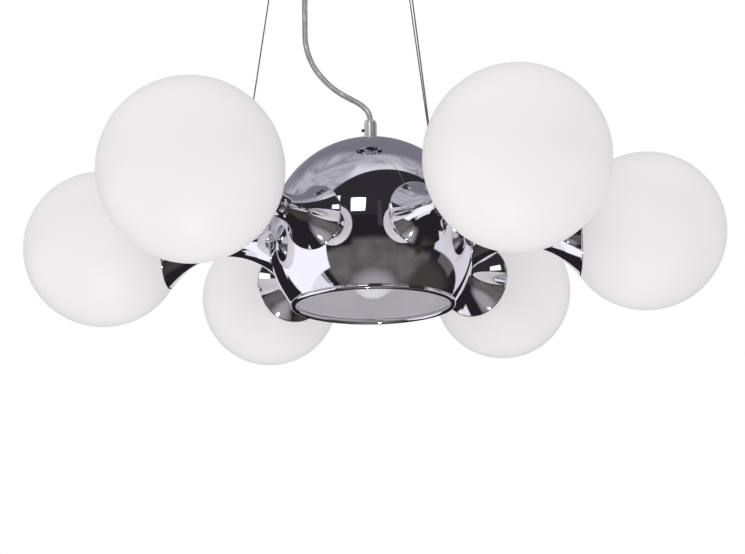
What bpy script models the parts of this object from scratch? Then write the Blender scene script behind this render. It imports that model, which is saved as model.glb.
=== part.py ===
"""A chandelier: a chromed dome with six trumpet arms, each ending in an opal glass globe.

The dome hangs by three steel ropes from a round ceiling canopy, and a clear supply cable
runs from the canopy to a cord grip on top of the dome.

Metres, +Z up. The origin lies on the ceiling, on the axis of the dome. The arms lie in one
level plane, the arm plane, DROP below the ceiling. Each arm has its own frame: its local Z
runs outwards along the arm from the axis of the dome, and its local X points down.
"""
import math

import bmesh
import bpy
from mathutils import Matrix, Vector

for old in list(bpy.data.objects):
    bpy.data.objects.remove(old, do_unlink=True)

# Driving dimensions
ARM_COUNT = 6
ROPE_ARMS = (1, 3, 5)            # the arms that a rope is fixed to, counted from 0 at +X
GLOBE_RADIUS = 0.075             # outside of the glass
DOME_RADIUS = 0.099
ARM_REACH = 0.10133              # from an arm's rim on the dome to its rim on the globe
DROP = 0.550                     # from the ceiling down to the arm plane
CANOPY_RADIUS = 0.0765
CANOPY_HEIGHT = 0.030
CANOPY_SHIFT = -0.0103           # the canopy sits this far along X from the dome's axis
CANOPY_TURN = 0.0345             # and is turned this far about Z, in radians

# Fits
TOUCH = 0.0003                   # between faces that rest on each other
THREAD_PLAY = 0.0008             # round a piece that turns in another
OVERRUN = 0.002                  # how far a cutter runs past what it cuts
MERGE = 0.00001

# Sides of the smaller turned pieces
HEX_STEPS = 6
SMALL_STEPS = 12
MIDDLE_STEPS = 16

# Dome, a spun shell with a rolled lower edge
DOME_WALL = 0.0012
DOME_MOUTH_SHARE = 0.6414        # the rolled edge's depth below the arm plane, of the radius
BEAD_RADIUS = 0.0026
BEAD_LIFT_SHARE = 1.3            # bead radii from the bead's centre up to the sphere's end
DOME_STEPS = 36
DOME_POINTS = 12
# The bead's outline, in quarter turns up and down from its outermost point
BEAD_POINTS = 7
BEAD_START_SHARE = 0.42
BEAD_END_SHARE = 2.9

# Stem, the threaded tube in the dome's axis
STEM_RADIUS = 0.005
STEM_BORE = 0.0034
STEM_NUT_RADIUS = 0.0078
STEM_NUT_HEIGHT = 0.004
STEM_IN_HOLDER = 0.008

# Cord grip on top of the dome
GRIP_RADIUS = 0.00615
GRIP_HEIGHT = 0.022
GRIP_SHOULDER = 0.0028
GRIP_NOSE_RADIUS = 0.0049
GRIP_SCREW_RADIUS = 0.0015
GRIP_SCREW_HEIGHT = 0.012        # above the grip's foot
GRIP_SCREW_PROUD = 0.0025

# Supply cable
CABLE_RADIUS = 0.0027
CABLE_SPACING = 0.0125
CABLE_BOW = -0.0638              # how far along X the cable swings out
CABLE_TAIL = 0.0043              # its end, above the gland's stud

# Reflector, a spun bowl inside the dome
REFLECTOR_WALL = 0.001
REFLECTOR_CROWN_SHARE = 0.3535   # the bowl's top above the arm plane, of the dome's radius
REFLECTOR_GAP = 0.0178           # between the bowl's widest part and the dome
REFLECTOR_STEPS = 24
TERMINAL_RING_RADIUS = 0.026
TERMINAL_RING_HEIGHT = 0.013
TERMINAL_RING_STEPS = 18

# Central lampholder and its round bulb
HOLDER_RADIUS = 0.0135
HOLDER_LENGTH = 0.0367
HOLDER_CHAMFER = 0.003
CAP_RADIUS = 0.0069
CAP_LENGTH = 0.021
CAP_TIP_RADIUS = 0.0025
CAP_TIP_LENGTH = 0.003
BULB_RADIUS = 0.023
BULB_DROP = 0.031                # the bulb's centre, below the holder's mouth
BULB_NECK_RADIUS = 0.008
BULB_NECK_TURN = math.radians(55.0)
BULB_POINTS = 8

# Arm, a turned trumpet with a flare at each end
ARM_WALL = 0.0012
WAIST_RADIUS = 0.0114
WAIST_SHARE = 0.4673             # of the arm's reach, from the rim on the dome to the waist
DOME_FLARE_RADIUS = 0.030
GLOBE_FLARE_RADIUS = 0.0405
FLARE_POWER = 2.15
RIM_LIP = 0.0024                 # width of a flare's rim, which follows the dome or globe
ARM_STEPS = 16
# Where the arm's outline has its points, as shares of the run from waist to rim
FLARE_SHARES = (0.0, 0.36, 0.66, 0.87, 1.0)

# Threaded tube through each arm, and the nut welded inside the dome that it screws into
TUBE_RADIUS = 0.004
TUBE_BORE = 0.0029
TUBE_IN_DOME = 0.006             # how far it stands inside the dome's wall
ARM_NUT_RADIUS = 0.0072
ARM_NUT_HEIGHT = 0.004

# Gallery, the threaded cup on the tube's outer end that a globe screws into
GALLERY_SHARE = 0.63             # of the way from the arm's waist to its rim on the globe
GALLERY_WALL = 0.0015

# Globe's neck and seal
NECK_RADIUS = 0.018
GLASS_WALL = 0.0025
SEAL_RADIUS = 0.0225
SEAL_THICKNESS = 0.0020
GLOBE_STEPS = 18
GLOBE_RINGS = 8

# Lampholder and capsule bulb in each globe
SOCKET_RADIUS = 0.0095
SOCKET_LENGTH = 0.026
BASE_RADIUS = 0.0069
BASE_LENGTH = 0.008
CAPSULE_RADIUS = 0.008
CAPSULE_LENGTH = 0.034
CAPSULE_SHOULDER = 0.003
CAPSULE_TIP_SHARE = 0.62

# Wiring: a lead from each lampholder to a terminal ring round the stem
LEAD_RADIUS = 0.0015
LEAD_TOP = 0.008                 # where a lead enters the ring, above the reflector's crown

# Steel ropes
ROPE_RADIUS = 0.0007
ROPE_INSET = 0.0075              # where a rope enters its arm, inwards from the waist
ROPE_SIDE = -0.00286             # and to the side of the arm's top line
ROPE_SPACING = 0.014
ROPE_HOLE = 0.0012
ROPE_BEND = 0.008                # where the bend is centred, below the gripper's nose
STOP_RADIUS = 0.0018
STOP_LENGTH = 0.0032
STOP_DEPTH = 0.0026              # the stop's top, below the arm's outer face

# Ceiling canopy and what is on it
CANOPY_WALL = 0.0012
CANOPY_FILLET = 0.004
FILLET_POINTS = 3
CANOPY_STEPS = 36
PLATE_PLAY = 0.0008              # round the plate's edge, inside the canopy's wall
PLATE_THICKNESS = 0.002
EAR_WIDTH = 0.020
EAR_DEPTH = 0.017
PLATE_WIRE_HOLE = 0.010
PLATE_WIRE_OFFSET = 0.045
PLATE_SCREW_HOLE = 0.0026
PLATE_SCREW_INSET = 0.0215       # from the cover's edge in to a screw hole in the plate
SIDE_SCREW_RADIUS = 0.0019
SIDE_SCREW_HEAD = 0.004
SIDE_SCREW_HEAD_LENGTH = 0.003
SIDE_SCREW_LENGTH = 0.0065
SIDE_SCREW_DEPTH = 0.011         # below the ceiling
SIDE_SCREW_ANGLES = (math.pi / 2.0, -math.pi / 2.0)
BLOCK_SIZE = (0.034, 0.018, 0.014)
BLOCK_OFFSET = 0.020
BLOCK_BEVEL = 0.001
GRIPPER_INSET = 0.0194           # from the cover's edge in to the circle of the grippers
GRIPPER_RADIUS = 0.006
GRIPPER_LENGTH = 0.020
GRIPPER_CHAMFER = 0.0015
STUD_RADIUS = 0.004
STUD_LENGTH = 0.009              # above the gripper's shoulder
STUD_NUT_RADIUS = 0.0075
STUD_NUT_HEIGHT = 0.004
STUD_BORE = 0.0013
PLUNGER_RADIUS = 0.003
PLUNGER_NOSE = 0.005             # how far the plunger stands out
PLUNGER_TRAVEL = 0.003
PLUNGER_LENGTH = 0.013
GLAND_STUD = 0.005
GLAND_STUD_LENGTH = 0.008
GLAND_RADIUS = 0.0085
GLAND_LENGTH = 0.026
GLAND_COLLAR = 0.0052
GLAND_TIP_RADIUS = 0.0046
GLAND_NUT_RADIUS = 0.009
GLAND_NUT_HEIGHT = 0.003

# The supply cable's route between the cord grip's top and the gland's mouth, as shares of
# the bow along X and of the height. It swings out to one side and comes back to the gland.
CABLE_SHARES = (
    (0.0251, 0.0207), (0.0925, 0.0373), (0.1881, 0.0508), (0.2978, 0.0620),
    (0.4154, 0.0744), (0.5329, 0.0894), (0.6426, 0.1066), (0.7524, 0.1286),
    (0.8511, 0.1539), (0.9263, 0.1815), (0.9702, 0.2062), (0.9937, 0.2328),
    (1.0, 0.2650), (1.0, 0.3000), (1.0, 0.3456), (0.9655, 0.4261), (0.8730, 0.5067),
    (0.7414, 0.5873), (0.5909, 0.6678), (0.4373, 0.7484), (0.3041, 0.8289),
    (0.2053, 0.9095),
)

# A lead's route inside the dome, as shares of the way from the terminal ring out to the
# dome's wall, and of the height of its end in the ring
LEAD_SHARES = (
    (0.9079, 0.0), (0.8428, 0.0651), (0.8022, 0.1860), (0.7520, 0.3721),
    (0.6436, 0.6163), (0.4878, 0.8140), (0.3117, 0.9419), (0.1491, 0.9953), (0.0, 1.0),
)

# The reflector's outer face, as shares of its widest radius and of its height above its edge
BOWL_SHARES = (
    (0.470, 0.990), (0.660, 0.925), (0.830, 0.790), (0.940, 0.620), (0.990, 0.450),
    (1.000, 0.290), (0.975, 0.130),
)

# A rope's points between its foot and its bend, and above the gripper's nose
ROPE_SHARES = (0.3, 0.6, 0.8, 0.9, 0.96)
ROPE_TOP_SHARES = (0.1, 0.5, 1.0)

# Worked out from the sizes above
ARM_STEP = 2.0 * math.pi / ARM_COUNT
CANOPY_UNDER = DROP - CANOPY_HEIGHT                  # above the arm plane, as all heights below
GRIPPER_TOP = CANOPY_UNDER - TOUCH
GRIPPER_CIRCLE = CANOPY_RADIUS - GRIPPER_INSET
GRIPPER_MOUTH = GRIPPER_TOP - GRIPPER_LENGTH
NOSE_END = GRIPPER_MOUTH - PLUNGER_NOSE
GLAND_MOUTH = GRIPPER_TOP - GLAND_LENGTH
DOME_INNER = DOME_RADIUS - DOME_WALL
DOME_MOUTH_DEPTH = DOME_RADIUS * DOME_MOUTH_SHARE
REFLECTOR_CROWN = DOME_RADIUS * REFLECTOR_CROWN_SHARE
REFLECTOR_RADIUS = DOME_INNER - REFLECTOR_GAP
GRIP_FOOT = DOME_RADIUS + TOUCH
STEM_TOP = GRIP_FOOT + GRIP_SCREW_HEIGHT - GRIP_SCREW_RADIUS - OVERRUN
HOLDER_TOP = REFLECTOR_CROWN - REFLECTOR_WALL - TOUCH
HOLDER_MOUTH = HOLDER_TOP - HOLDER_LENGTH
STEM_FOOT = HOLDER_TOP - STEM_IN_HOLDER
RIM_AT_DOME = math.sqrt(DOME_RADIUS ** 2 - DOME_FLARE_RADIUS ** 2) + TOUCH
RIM_AT_GLOBE = RIM_AT_DOME + ARM_REACH
WAIST_DISTANCE = RIM_AT_DOME + ARM_REACH * WAIST_SHARE
GLOBE_DISTANCE = RIM_AT_GLOBE + TOUCH + math.sqrt(GLOBE_RADIUS ** 2 - GLOBE_FLARE_RADIUS ** 2)
ROPE_FOOT = WAIST_DISTANCE - ROPE_INSET
GALLERY_DISTANCE = WAIST_DISTANCE + (RIM_AT_GLOBE - WAIST_DISTANCE) * GALLERY_SHARE
NECK_BORE = NECK_RADIUS - GLASS_WALL
NECK_START = GLOBE_DISTANCE - math.sqrt(GLOBE_RADIUS ** 2 - NECK_RADIUS ** 2)
NECK_END = GALLERY_DISTANCE + GALLERY_WALL + THREAD_PLAY
GALLERY_FRONT = NECK_START - SEAL_THICKNESS - 2.0 * TOUCH
TUBE_START = DOME_INNER - TUBE_IN_DOME
SOCKET_START = GALLERY_DISTANCE + GALLERY_WALL + TOUCH
SOCKET_END = SOCKET_START + SOCKET_LENGTH

part = bpy.data.collections.new("chandelier")
cutters = bpy.data.collections.new("chandelier_cutters")
bpy.context.scene.collection.children.link(part)
bpy.context.scene.collection.children.link(cutters)


def material(name, colour, roughness, metallic=0.0):
    """A Principled material of one colour."""
    mat = bpy.data.materials.new(name)
    mat.use_nodes = True
    shader = mat.node_tree.nodes["Principled BSDF"]
    shader.inputs["Base Color"].default_value = (*colour, 1.0)
    shader.inputs["Roughness"].default_value = roughness
    shader.inputs["Metallic"].default_value = metallic
    return mat


CHROME = material("chrome_plate", (0.82, 0.82, 0.85), 0.05, 1.0)
SATIN = material("satin_aluminium", (0.72, 0.71, 0.73), 0.35, 1.0)
STEEL = material("zinc_steel", (0.60, 0.61, 0.63), 0.35, 1.0)
ROPE_STEEL = material("rope_steel", (0.62, 0.60, 0.58), 0.30, 1.0)
BRASS = material("nickel_brass", (0.75, 0.70, 0.60), 0.25, 1.0)
OPAL = material("opal_glass", (0.93, 0.93, 0.93), 0.25)
FROSTED = material("frosted_glass", (0.80, 0.82, 0.79), 0.45)
CLEAR_GLASS = material("clear_glass", (0.85, 0.87, 0.88), 0.05)
CERAMIC = material("white_ceramic", (0.88, 0.87, 0.84), 0.40)
SILICONE = material("white_silicone", (0.80, 0.80, 0.78), 0.60)
BLACK_PLASTIC = material("black_plastic", (0.03, 0.03, 0.03), 0.45)
WHITE_PLASTIC = material("white_plastic", (0.85, 0.85, 0.83), 0.40)
CLEAR_PVC = material("clear_pvc", (0.70, 0.71, 0.72), 0.15)


def frame_at(name, parent, location=(0.0, 0.0, 0.0), rotation=(0.0, 0.0, 0.0)):
    """An empty that carries pieces."""
    empty = bpy.data.objects.new(name, None)
    part.objects.link(empty)
    empty.parent = parent
    empty.location = location
    empty.rotation_euler = rotation
    return empty


def cylindrical(radius, angle, height=0.0):
    """The point at a radius, an angle and a height about Z."""
    return (radius * math.cos(angle), radius * math.sin(angle), height)


ceiling = frame_at("ceiling_frame", None)
canopy = frame_at("canopy_frame", ceiling, (CANOPY_SHIFT, 0.0, 0.0), (0.0, 0.0, CANOPY_TURN))
lamp = frame_at("lamp_frame", ceiling, (0.0, 0.0, -DROP))
arm_frames = [
    frame_at(f"arm_frame_{i + 1}", lamp, rotation=(0.0, math.pi / 2.0, i * ARM_STEP))
    for i in range(ARM_COUNT)
]


def add(name, data, parent, mat=None, location=(0.0, 0.0, 0.0), rotation=(0.0, 0.0, 0.0)):
    """An object in the part, or a cutter where it has no material."""
    obj = bpy.data.objects.new(name, data)
    obj.parent = parent
    obj.location = location
    obj.rotation_euler = rotation
    if mat is None:
        cutters.objects.link(obj)
        obj.hide_render = True
        obj.display_type = "WIRE"
    else:
        part.objects.link(obj)
        data.materials.append(mat)
    return obj


def turned(name, outline, steps, parent, mat=None, **place):
    """A piece turned about its Z from an outline of (radius, height), outer side downwards.

    An outline whose ends lie on the axis is left open there, and any other is closed.
    """
    verts = [(radius, 0.0, height) for radius, height in outline]
    edges = [(k, k + 1) for k in range(len(verts) - 1)]
    if outline[0][0] > 0.0:
        edges.append((len(verts) - 1, 0))
    mesh = bpy.data.meshes.new(name)
    mesh.from_pydata(verts, edges, [])
    obj = add(name, mesh, parent, mat, **place)
    screw = obj.modifiers.new("turning", "SCREW")
    screw.axis = "Z"
    screw.steps = steps
    screw.render_steps = steps
    screw.use_merge_vertices = True
    screw.merge_threshold = MERGE
    screw.use_smooth_shade = True
    return obj


def ring(inner, outer, low, high):
    """The outline of a plain ring or tube."""
    return [(outer, high), (outer, low), (inner, low), (inner, high)]


def disc(radius, low, high):
    """The outline of a plain disc or rod."""
    return [(0.0, high), (radius, high), (radius, low), (0.0, low)]


def cut(obj, cutter, operation="DIFFERENCE"):
    """Take a cutter out of a piece, or join it on."""
    boolean = obj.modifiers.new(cutter.name, "BOOLEAN")
    boolean.operation = operation
    boolean.object = cutter
    return boolean


def smooth_path(route, spacing):
    """Points about one spacing apart on a smooth curve through a route's points."""
    knots = [Vector(point) for point in route]
    knots = [2.0 * knots[0] - knots[1]] + knots + [2.0 * knots[-1] - knots[-2]]
    fine = []
    fine_steps = 16
    for p0, p1, p2, p3 in zip(knots, knots[1:], knots[2:], knots[3:]):
        t1 = (p1 - p0).length ** 0.5
        t2 = t1 + (p2 - p1).length ** 0.5
        t3 = t2 + (p3 - p2).length ** 0.5
        for k in range(fine_steps):
            t = t1 + (t2 - t1) * k / fine_steps
            a1 = p0.lerp(p1, t / t1)
            a2 = p1.lerp(p2, (t - t1) / (t2 - t1))
            a3 = p2.lerp(p3, (t - t2) / (t3 - t2))
            b1 = a1.lerp(a2, t / t2)
            b2 = a2.lerp(a3, (t - t1) / (t3 - t1))
            fine.append(b1.lerp(b2, (t - t1) / (t2 - t1)))
    fine.append(knots[-2])
    reach = [0.0]
    for a, b in zip(fine, fine[1:]):
        reach.append(reach[-1] + (b - a).length)
    count = max(2, round(reach[-1] / spacing))
    path = []
    k = 0
    for n in range(count + 1):
        goal = reach[-1] * n / count
        while k < len(fine) - 2 and reach[k + 1] < goal:
            k += 1
        path.append(fine[k].lerp(fine[k + 1], (goal - reach[k]) / (reach[k + 1] - reach[k])))
    return path


def tube(name, path, radius, resolution, parent, mat, radii=None):
    """A round tube along a path, its radius times a share at each point if given."""
    curve = bpy.data.curves.new(name, "CURVE")
    curve.dimensions = "3D"
    curve.bevel_depth = radius
    curve.bevel_resolution = resolution
    curve.use_fill_caps = True
    spline = curve.splines.new("POLY")
    spline.points.add(len(path) - 1)
    for k, place in enumerate(path):
        spline.points[k].co = (*place, 1.0)
        if radii:
            spline.points[k].radius = radii[k]
    return add(name, curve, parent, mat)


# Ceiling plate: a steel disc with two ears bent down inside the canopy's wall
canopy_inner = CANOPY_RADIUS - CANOPY_WALL
plate_radius = canopy_inner - PLATE_PLAY
plate = turned("ceiling_plate", disc(plate_radius, -PLATE_THICKNESS, 0.0), CANOPY_STEPS,
               canopy, STEEL, rotation=(0.0, 0.0, math.pi / CANOPY_STEPS))
ear_face = math.sqrt(plate_radius ** 2 - (EAR_WIDTH / 2.0) ** 2) - PLATE_PLAY


def block(size, centre, bevel=0.0):
    """A box mesh of a size about a centre, its edges bevelled."""
    bm = bmesh.new()
    bmesh.ops.create_cube(bm, size=1.0, matrix=Matrix.LocRotScale(Vector(centre), None, size))
    if bevel > 0.0:
        bmesh.ops.bevel(bm, geom=bm.edges[:], offset=bevel, segments=1, affect="EDGES")
    mesh = bpy.data.meshes.new("block")
    bm.to_mesh(mesh)
    bm.free()
    return mesh


for i, angle in enumerate(SIDE_SCREW_ANGLES):
    ear_size = (PLATE_THICKNESS, EAR_WIDTH, EAR_DEPTH)
    ear_centre = (ear_face - PLATE_THICKNESS / 2.0, 0.0,
                  -(PLATE_THICKNESS + EAR_DEPTH) / 2.0)
    ear = add(f"ear_{i + 1}", block(ear_size, ear_centre), canopy,
              rotation=(0.0, 0.0, angle))
    cut(plate, ear, "UNION")
screw_offset = CANOPY_RADIUS - PLATE_SCREW_INSET
plate_holes = [
    (PLATE_WIRE_HOLE, (0.0, PLATE_WIRE_OFFSET, 0.0)),
    (PLATE_SCREW_HOLE, (screw_offset, 0.0, 0.0)),
    (PLATE_SCREW_HOLE, (-screw_offset, 0.0, 0.0)),
]
for i, (radius, place) in enumerate(plate_holes):
    hole = disc(radius, -PLATE_THICKNESS - OVERRUN, OVERRUN)
    cut(plate, turned(f"plate_hole_{i + 1}", hole, MIDDLE_STEPS, canopy, location=place))

# Terminal block under the plate, where the house wiring is joined
block_centre = (BLOCK_OFFSET, 0.0, -PLATE_THICKNESS - TOUCH - BLOCK_SIZE[2] / 2.0)
add("canopy_terminal", block(BLOCK_SIZE, block_centre, BLOCK_BEVEL), canopy, WHITE_PLASTIC)

# Canopy cover: a shallow spun cup, open at the ceiling
cover_outline = [
    (0.0, -CANOPY_HEIGHT + CANOPY_WALL),
    (canopy_inner - CANOPY_FILLET, -CANOPY_HEIGHT + CANOPY_WALL),
    (canopy_inner, -CANOPY_HEIGHT + CANOPY_WALL + CANOPY_FILLET),
    (canopy_inner, -TOUCH),
    (CANOPY_RADIUS, -TOUCH),
]
for k in range(FILLET_POINTS + 1):
    turn = k / FILLET_POINTS * math.pi / 2.0
    cover_outline.append((
        CANOPY_RADIUS - CANOPY_FILLET * (1.0 - math.cos(turn)),
        -CANOPY_HEIGHT + CANOPY_FILLET * (1.0 - math.sin(turn)),
    ))
cover_outline.append((0.0, -CANOPY_HEIGHT))
cover = turned("canopy_cover", cover_outline, CANOPY_STEPS, canopy, CHROME)


def weld_nut(name, spot, radius, height, bore):
    """A hexagon nut welded inside the cover, with the hole through it and the wall."""
    wall_middle = -CANOPY_HEIGHT + CANOPY_WALL / 2.0
    top = -CANOPY_HEIGHT + CANOPY_WALL + height
    nut = disc(radius, wall_middle, top)
    cut(cover, turned(name, nut, HEX_STEPS, canopy, location=spot), "UNION")
    hole = disc(bore, -CANOPY_HEIGHT - OVERRUN, top + OVERRUN)
    cut(cover, turned(f"{name}_bore", hole, SMALL_STEPS, canopy, location=spot,
                      rotation=(0.0, 0.0, math.pi / SMALL_STEPS)))


# Side screws: knurled screws through the cover's wall into the ears
screw_outline = [
    (0.0, SIDE_SCREW_HEAD_LENGTH),
    (SIDE_SCREW_HEAD, SIDE_SCREW_HEAD_LENGTH),
    (SIDE_SCREW_HEAD, 0.0),
    (SIDE_SCREW_RADIUS, 0.0),
    (SIDE_SCREW_RADIUS, -SIDE_SCREW_LENGTH),
    (0.0, -SIDE_SCREW_LENGTH),
]
side_hole = disc(SIDE_SCREW_RADIUS + TOUCH, -SIDE_SCREW_LENGTH - OVERRUN, OVERRUN)
for i, angle in enumerate(SIDE_SCREW_ANGLES):
    spot = cylindrical(CANOPY_RADIUS + TOUCH, angle, -SIDE_SCREW_DEPTH)
    place = {"location": spot, "rotation": (0.0, math.pi / 2.0, angle)}
    turned(f"canopy_screw_{i + 1}", screw_outline, SMALL_STEPS, canopy, CHROME, **place)
    hole = turned(f"side_hole_{i + 1}", side_hole, SMALL_STEPS, canopy, **place)
    cut(cover, hole)
    cut(plate, hole)

# Rope grippers: a threaded stud in the cover's welded nut, a body below it and a sprung
# plunger. Their outlines are given from the shoulder, which touches the cover from below.
counterbore = PLUNGER_LENGTH - PLUNGER_NOSE + PLUNGER_TRAVEL + TOUCH
gripper_outline = [
    (STUD_RADIUS, STUD_LENGTH),
    (STUD_RADIUS, 0.0),
    (GRIPPER_RADIUS, 0.0),
    (GRIPPER_RADIUS, -GRIPPER_LENGTH + GRIPPER_CHAMFER),
    (GRIPPER_RADIUS - GRIPPER_CHAMFER, -GRIPPER_LENGTH),
    (PLUNGER_RADIUS + TOUCH, -GRIPPER_LENGTH),
    (PLUNGER_RADIUS + TOUCH, -GRIPPER_LENGTH + counterbore),
    (STUD_BORE, -GRIPPER_LENGTH + counterbore),
    (STUD_BORE, STUD_LENGTH),
]
plunger_top = PLUNGER_LENGTH - PLUNGER_NOSE
plunger_outline = [
    (PLUNGER_RADIUS, plunger_top),
    (PLUNGER_RADIUS, -PLUNGER_NOSE + GRIPPER_CHAMFER / 2.0),
    (PLUNGER_RADIUS - GRIPPER_CHAMFER / 2.0, -PLUNGER_NOSE),
    (ROPE_RADIUS + TOUCH, -PLUNGER_NOSE),
    (ROPE_RADIUS + TOUCH, plunger_top),
]
for i, index in enumerate(ROPE_ARMS):
    spot = cylindrical(GRIPPER_CIRCLE, index * ARM_STEP)
    shoulder = frame_at(f"gripper_frame_{i + 1}", canopy,
                        (spot[0], spot[1], -CANOPY_HEIGHT - TOUCH))
    turned(f"rope_gripper_{i + 1}", gripper_outline, SMALL_STEPS, shoulder, CHROME)
    mouth = frame_at(f"plunger_frame_{i + 1}", shoulder, (0.0, 0.0, -GRIPPER_LENGTH))
    turned(f"gripper_plunger_{i + 1}", plunger_outline, SMALL_STEPS, mouth, BRASS)
    weld_nut(f"gripper_nut_{i + 1}", spot, STUD_NUT_RADIUS, STUD_NUT_HEIGHT,
             STUD_RADIUS + TOUCH)

# Cable gland: a tapered strain relief where the supply cable leaves the canopy's middle
gland_frame = frame_at("gland_frame", canopy, (0.0, 0.0, -CANOPY_HEIGHT - TOUCH))
cable_bore = CABLE_RADIUS + TOUCH
gland_outline = [
    (GLAND_STUD, GLAND_STUD_LENGTH),
    (GLAND_STUD, 0.0),
    (GLAND_RADIUS, 0.0),
    (GLAND_RADIUS, -GLAND_COLLAR),
    (GLAND_TIP_RADIUS, -GLAND_LENGTH),
    (cable_bore, -GLAND_LENGTH),
    (cable_bore, GLAND_STUD_LENGTH),
]
turned("cable_gland", gland_outline, MIDDLE_STEPS, gland_frame, CHROME)
weld_nut("gland_nut", (0.0, 0.0, 0.0), GLAND_NUT_RADIUS, GLAND_NUT_HEIGHT,
         GLAND_STUD + TOUCH)

# Supply cable: clear jacket over tinned cores, from the cord grip up into the gland
grip_top = GRIP_FOOT + GRIP_HEIGHT
cable_start = STEM_TOP + TOUCH
cable_end = GRIPPER_TOP + GLAND_STUD_LENGTH + CABLE_TAIL
cable_route = [(0.0, 0.0, cable_start), (0.0, 0.0, (cable_start + grip_top) / 2.0),
               (0.0, 0.0, grip_top)]
cable_route += [(x * CABLE_BOW, 0.0, grip_top + z * (GLAND_MOUTH - grip_top))
                for x, z in CABLE_SHARES]
cable_route += [(CANOPY_SHIFT, 0.0, GLAND_MOUTH),
                (CANOPY_SHIFT, 0.0, (GLAND_MOUTH + cable_end) / 2.0),
                (CANOPY_SHIFT, 0.0, cable_end)]
cable_path = smooth_path(cable_route, CABLE_SPACING)
tube("supply_cable", cable_path, CABLE_RADIUS, 3, lamp, CLEAR_PVC)


def flare_radius(distance):
    """The arm's outer radius at a distance from the dome's axis."""
    if distance < WAIST_DISTANCE:
        run, rim = WAIST_DISTANCE - RIM_AT_DOME, DOME_FLARE_RADIUS
    else:
        run, rim = RIM_AT_GLOBE - WAIST_DISTANCE, GLOBE_FLARE_RADIUS
    share = abs(distance - WAIST_DISTANCE) / run
    return WAIST_RADIUS + (rim - WAIST_RADIUS) * share ** FLARE_POWER


def flare_bore(distance):
    """The arm's inner radius there: one wall in, square to the outer face."""
    small = ARM_WALL / 10.0
    slope = (flare_radius(distance + small) - flare_radius(distance - small)) / (2.0 * small)
    return flare_radius(distance) - ARM_WALL * math.hypot(1.0, slope)


# Steel ropes: each rises from its arm's waist to its gripper, and bends upright below it.
# The lower end has a sleeve crimped on it, which stops it inside the arm.
rope_feet = []
for i, index in enumerate(ROPE_ARMS):
    angle = index * ARM_STEP
    along = Vector(cylindrical(1.0, angle))
    across = Vector(cylindrical(1.0, angle + math.pi / 2.0))
    foot = along * ROPE_FOOT + across * ROPE_SIDE
    foot.z = math.sqrt(flare_radius(ROPE_FOOT) ** 2 - ROPE_SIDE ** 2)
    nose = (Vector(cylindrical(GRIPPER_CIRCLE, angle + CANOPY_TURN))
            + Vector((CANOPY_SHIFT, 0.0, NOSE_END)))
    bend = nose - Vector((0.0, 0.0, ROPE_BEND))
    line = (bend - foot).normalized()
    end = Vector((nose.x, nose.y, GRIPPER_TOP + STUD_LENGTH + OVERRUN))
    stop_top = foot - line * STOP_DEPTH
    stop_foot = stop_top - line * STOP_LENGTH
    route = [stop_top + line * TOUCH, foot]
    route += [foot.lerp(bend, share) for share in ROPE_SHARES]
    route += [nose] + [nose.lerp(end, share) for share in ROPE_TOP_SHARES]
    path = smooth_path(route, ROPE_SPACING)
    crimp = STOP_RADIUS / ROPE_RADIUS
    radii = [crimp, crimp] + [1.0] * len(path)
    tube(f"steel_rope_{i + 1}", [stop_foot, stop_top] + path, ROPE_RADIUS, 2, lamp,
         ROPE_STEEL, radii)
    lean = Vector((0.0, 0.0, 1.0)).rotation_difference(line).to_euler()
    rope_feet.append(frame_at(f"rope_foot_{i + 1}", lamp, foot, lean))

# Cord grip: a chromed barrel on the stem, with a screw that clamps the supply cable
grip_frame = frame_at("grip_frame", lamp, (0.0, 0.0, GRIP_FOOT))
stem_bore = STEM_TOP + TOUCH - GRIP_FOOT
grip_outline = [
    (GRIP_NOSE_RADIUS, GRIP_HEIGHT),
    (GRIP_RADIUS, GRIP_HEIGHT - GRIP_SHOULDER),
    (GRIP_RADIUS, 0.0),
    (STEM_RADIUS + TOUCH, 0.0),
    (STEM_RADIUS + TOUCH, stem_bore),
    (cable_bore, stem_bore),
    (cable_bore, GRIP_HEIGHT),
]
grip = turned("cord_grip", grip_outline, MIDDLE_STEPS, grip_frame, CHROME)
grip_screw_frame = frame_at("grip_screw_frame", grip_frame, (0.0, 0.0, GRIP_SCREW_HEIGHT),
                            (0.0, -math.pi / 2.0, 0.0))
screw_end = GRIP_RADIUS + GRIP_SCREW_PROUD
turned("grip_screw", disc(GRIP_SCREW_RADIUS, cable_bore, screw_end), SMALL_STEPS,
       grip_screw_frame, STEEL)
grip_hole = disc(GRIP_SCREW_RADIUS + TOUCH, 0.0, screw_end + OVERRUN)
cut(grip, turned("grip_screw_hole", grip_hole, SMALL_STEPS, grip_screw_frame))

# Stem: a threaded tube through the dome's crown, the terminal ring and the reflector
turned("center_stem", ring(STEM_BORE, STEM_RADIUS, STEM_FOOT, STEM_TOP), SMALL_STEPS, lamp,
       STEEL)

# Dome: a spun shell, open below, with its edge rolled into a bead. A boss in its crown
# takes the stem, and a nut is welded inside it for each arm's tube.
bead_circle = math.sqrt(DOME_RADIUS ** 2 - DOME_MOUTH_DEPTH ** 2) - DOME_WALL / 2.0
stem_hole = STEM_RADIUS + TOUCH
rim_angle = -math.atan2(DOME_MOUTH_DEPTH - BEAD_LIFT_SHARE * BEAD_RADIUS, bead_circle)


def dome_arc(radius, count):
    """Points down a sphere about the arm plane, from the stem's hole to the rolled edge."""
    top = math.acos(stem_hole / radius)
    angles = [top + (rim_angle - top) * k / count for k in range(count + 1)]
    return [(radius * math.cos(a), radius * math.sin(a)) for a in angles]


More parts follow.
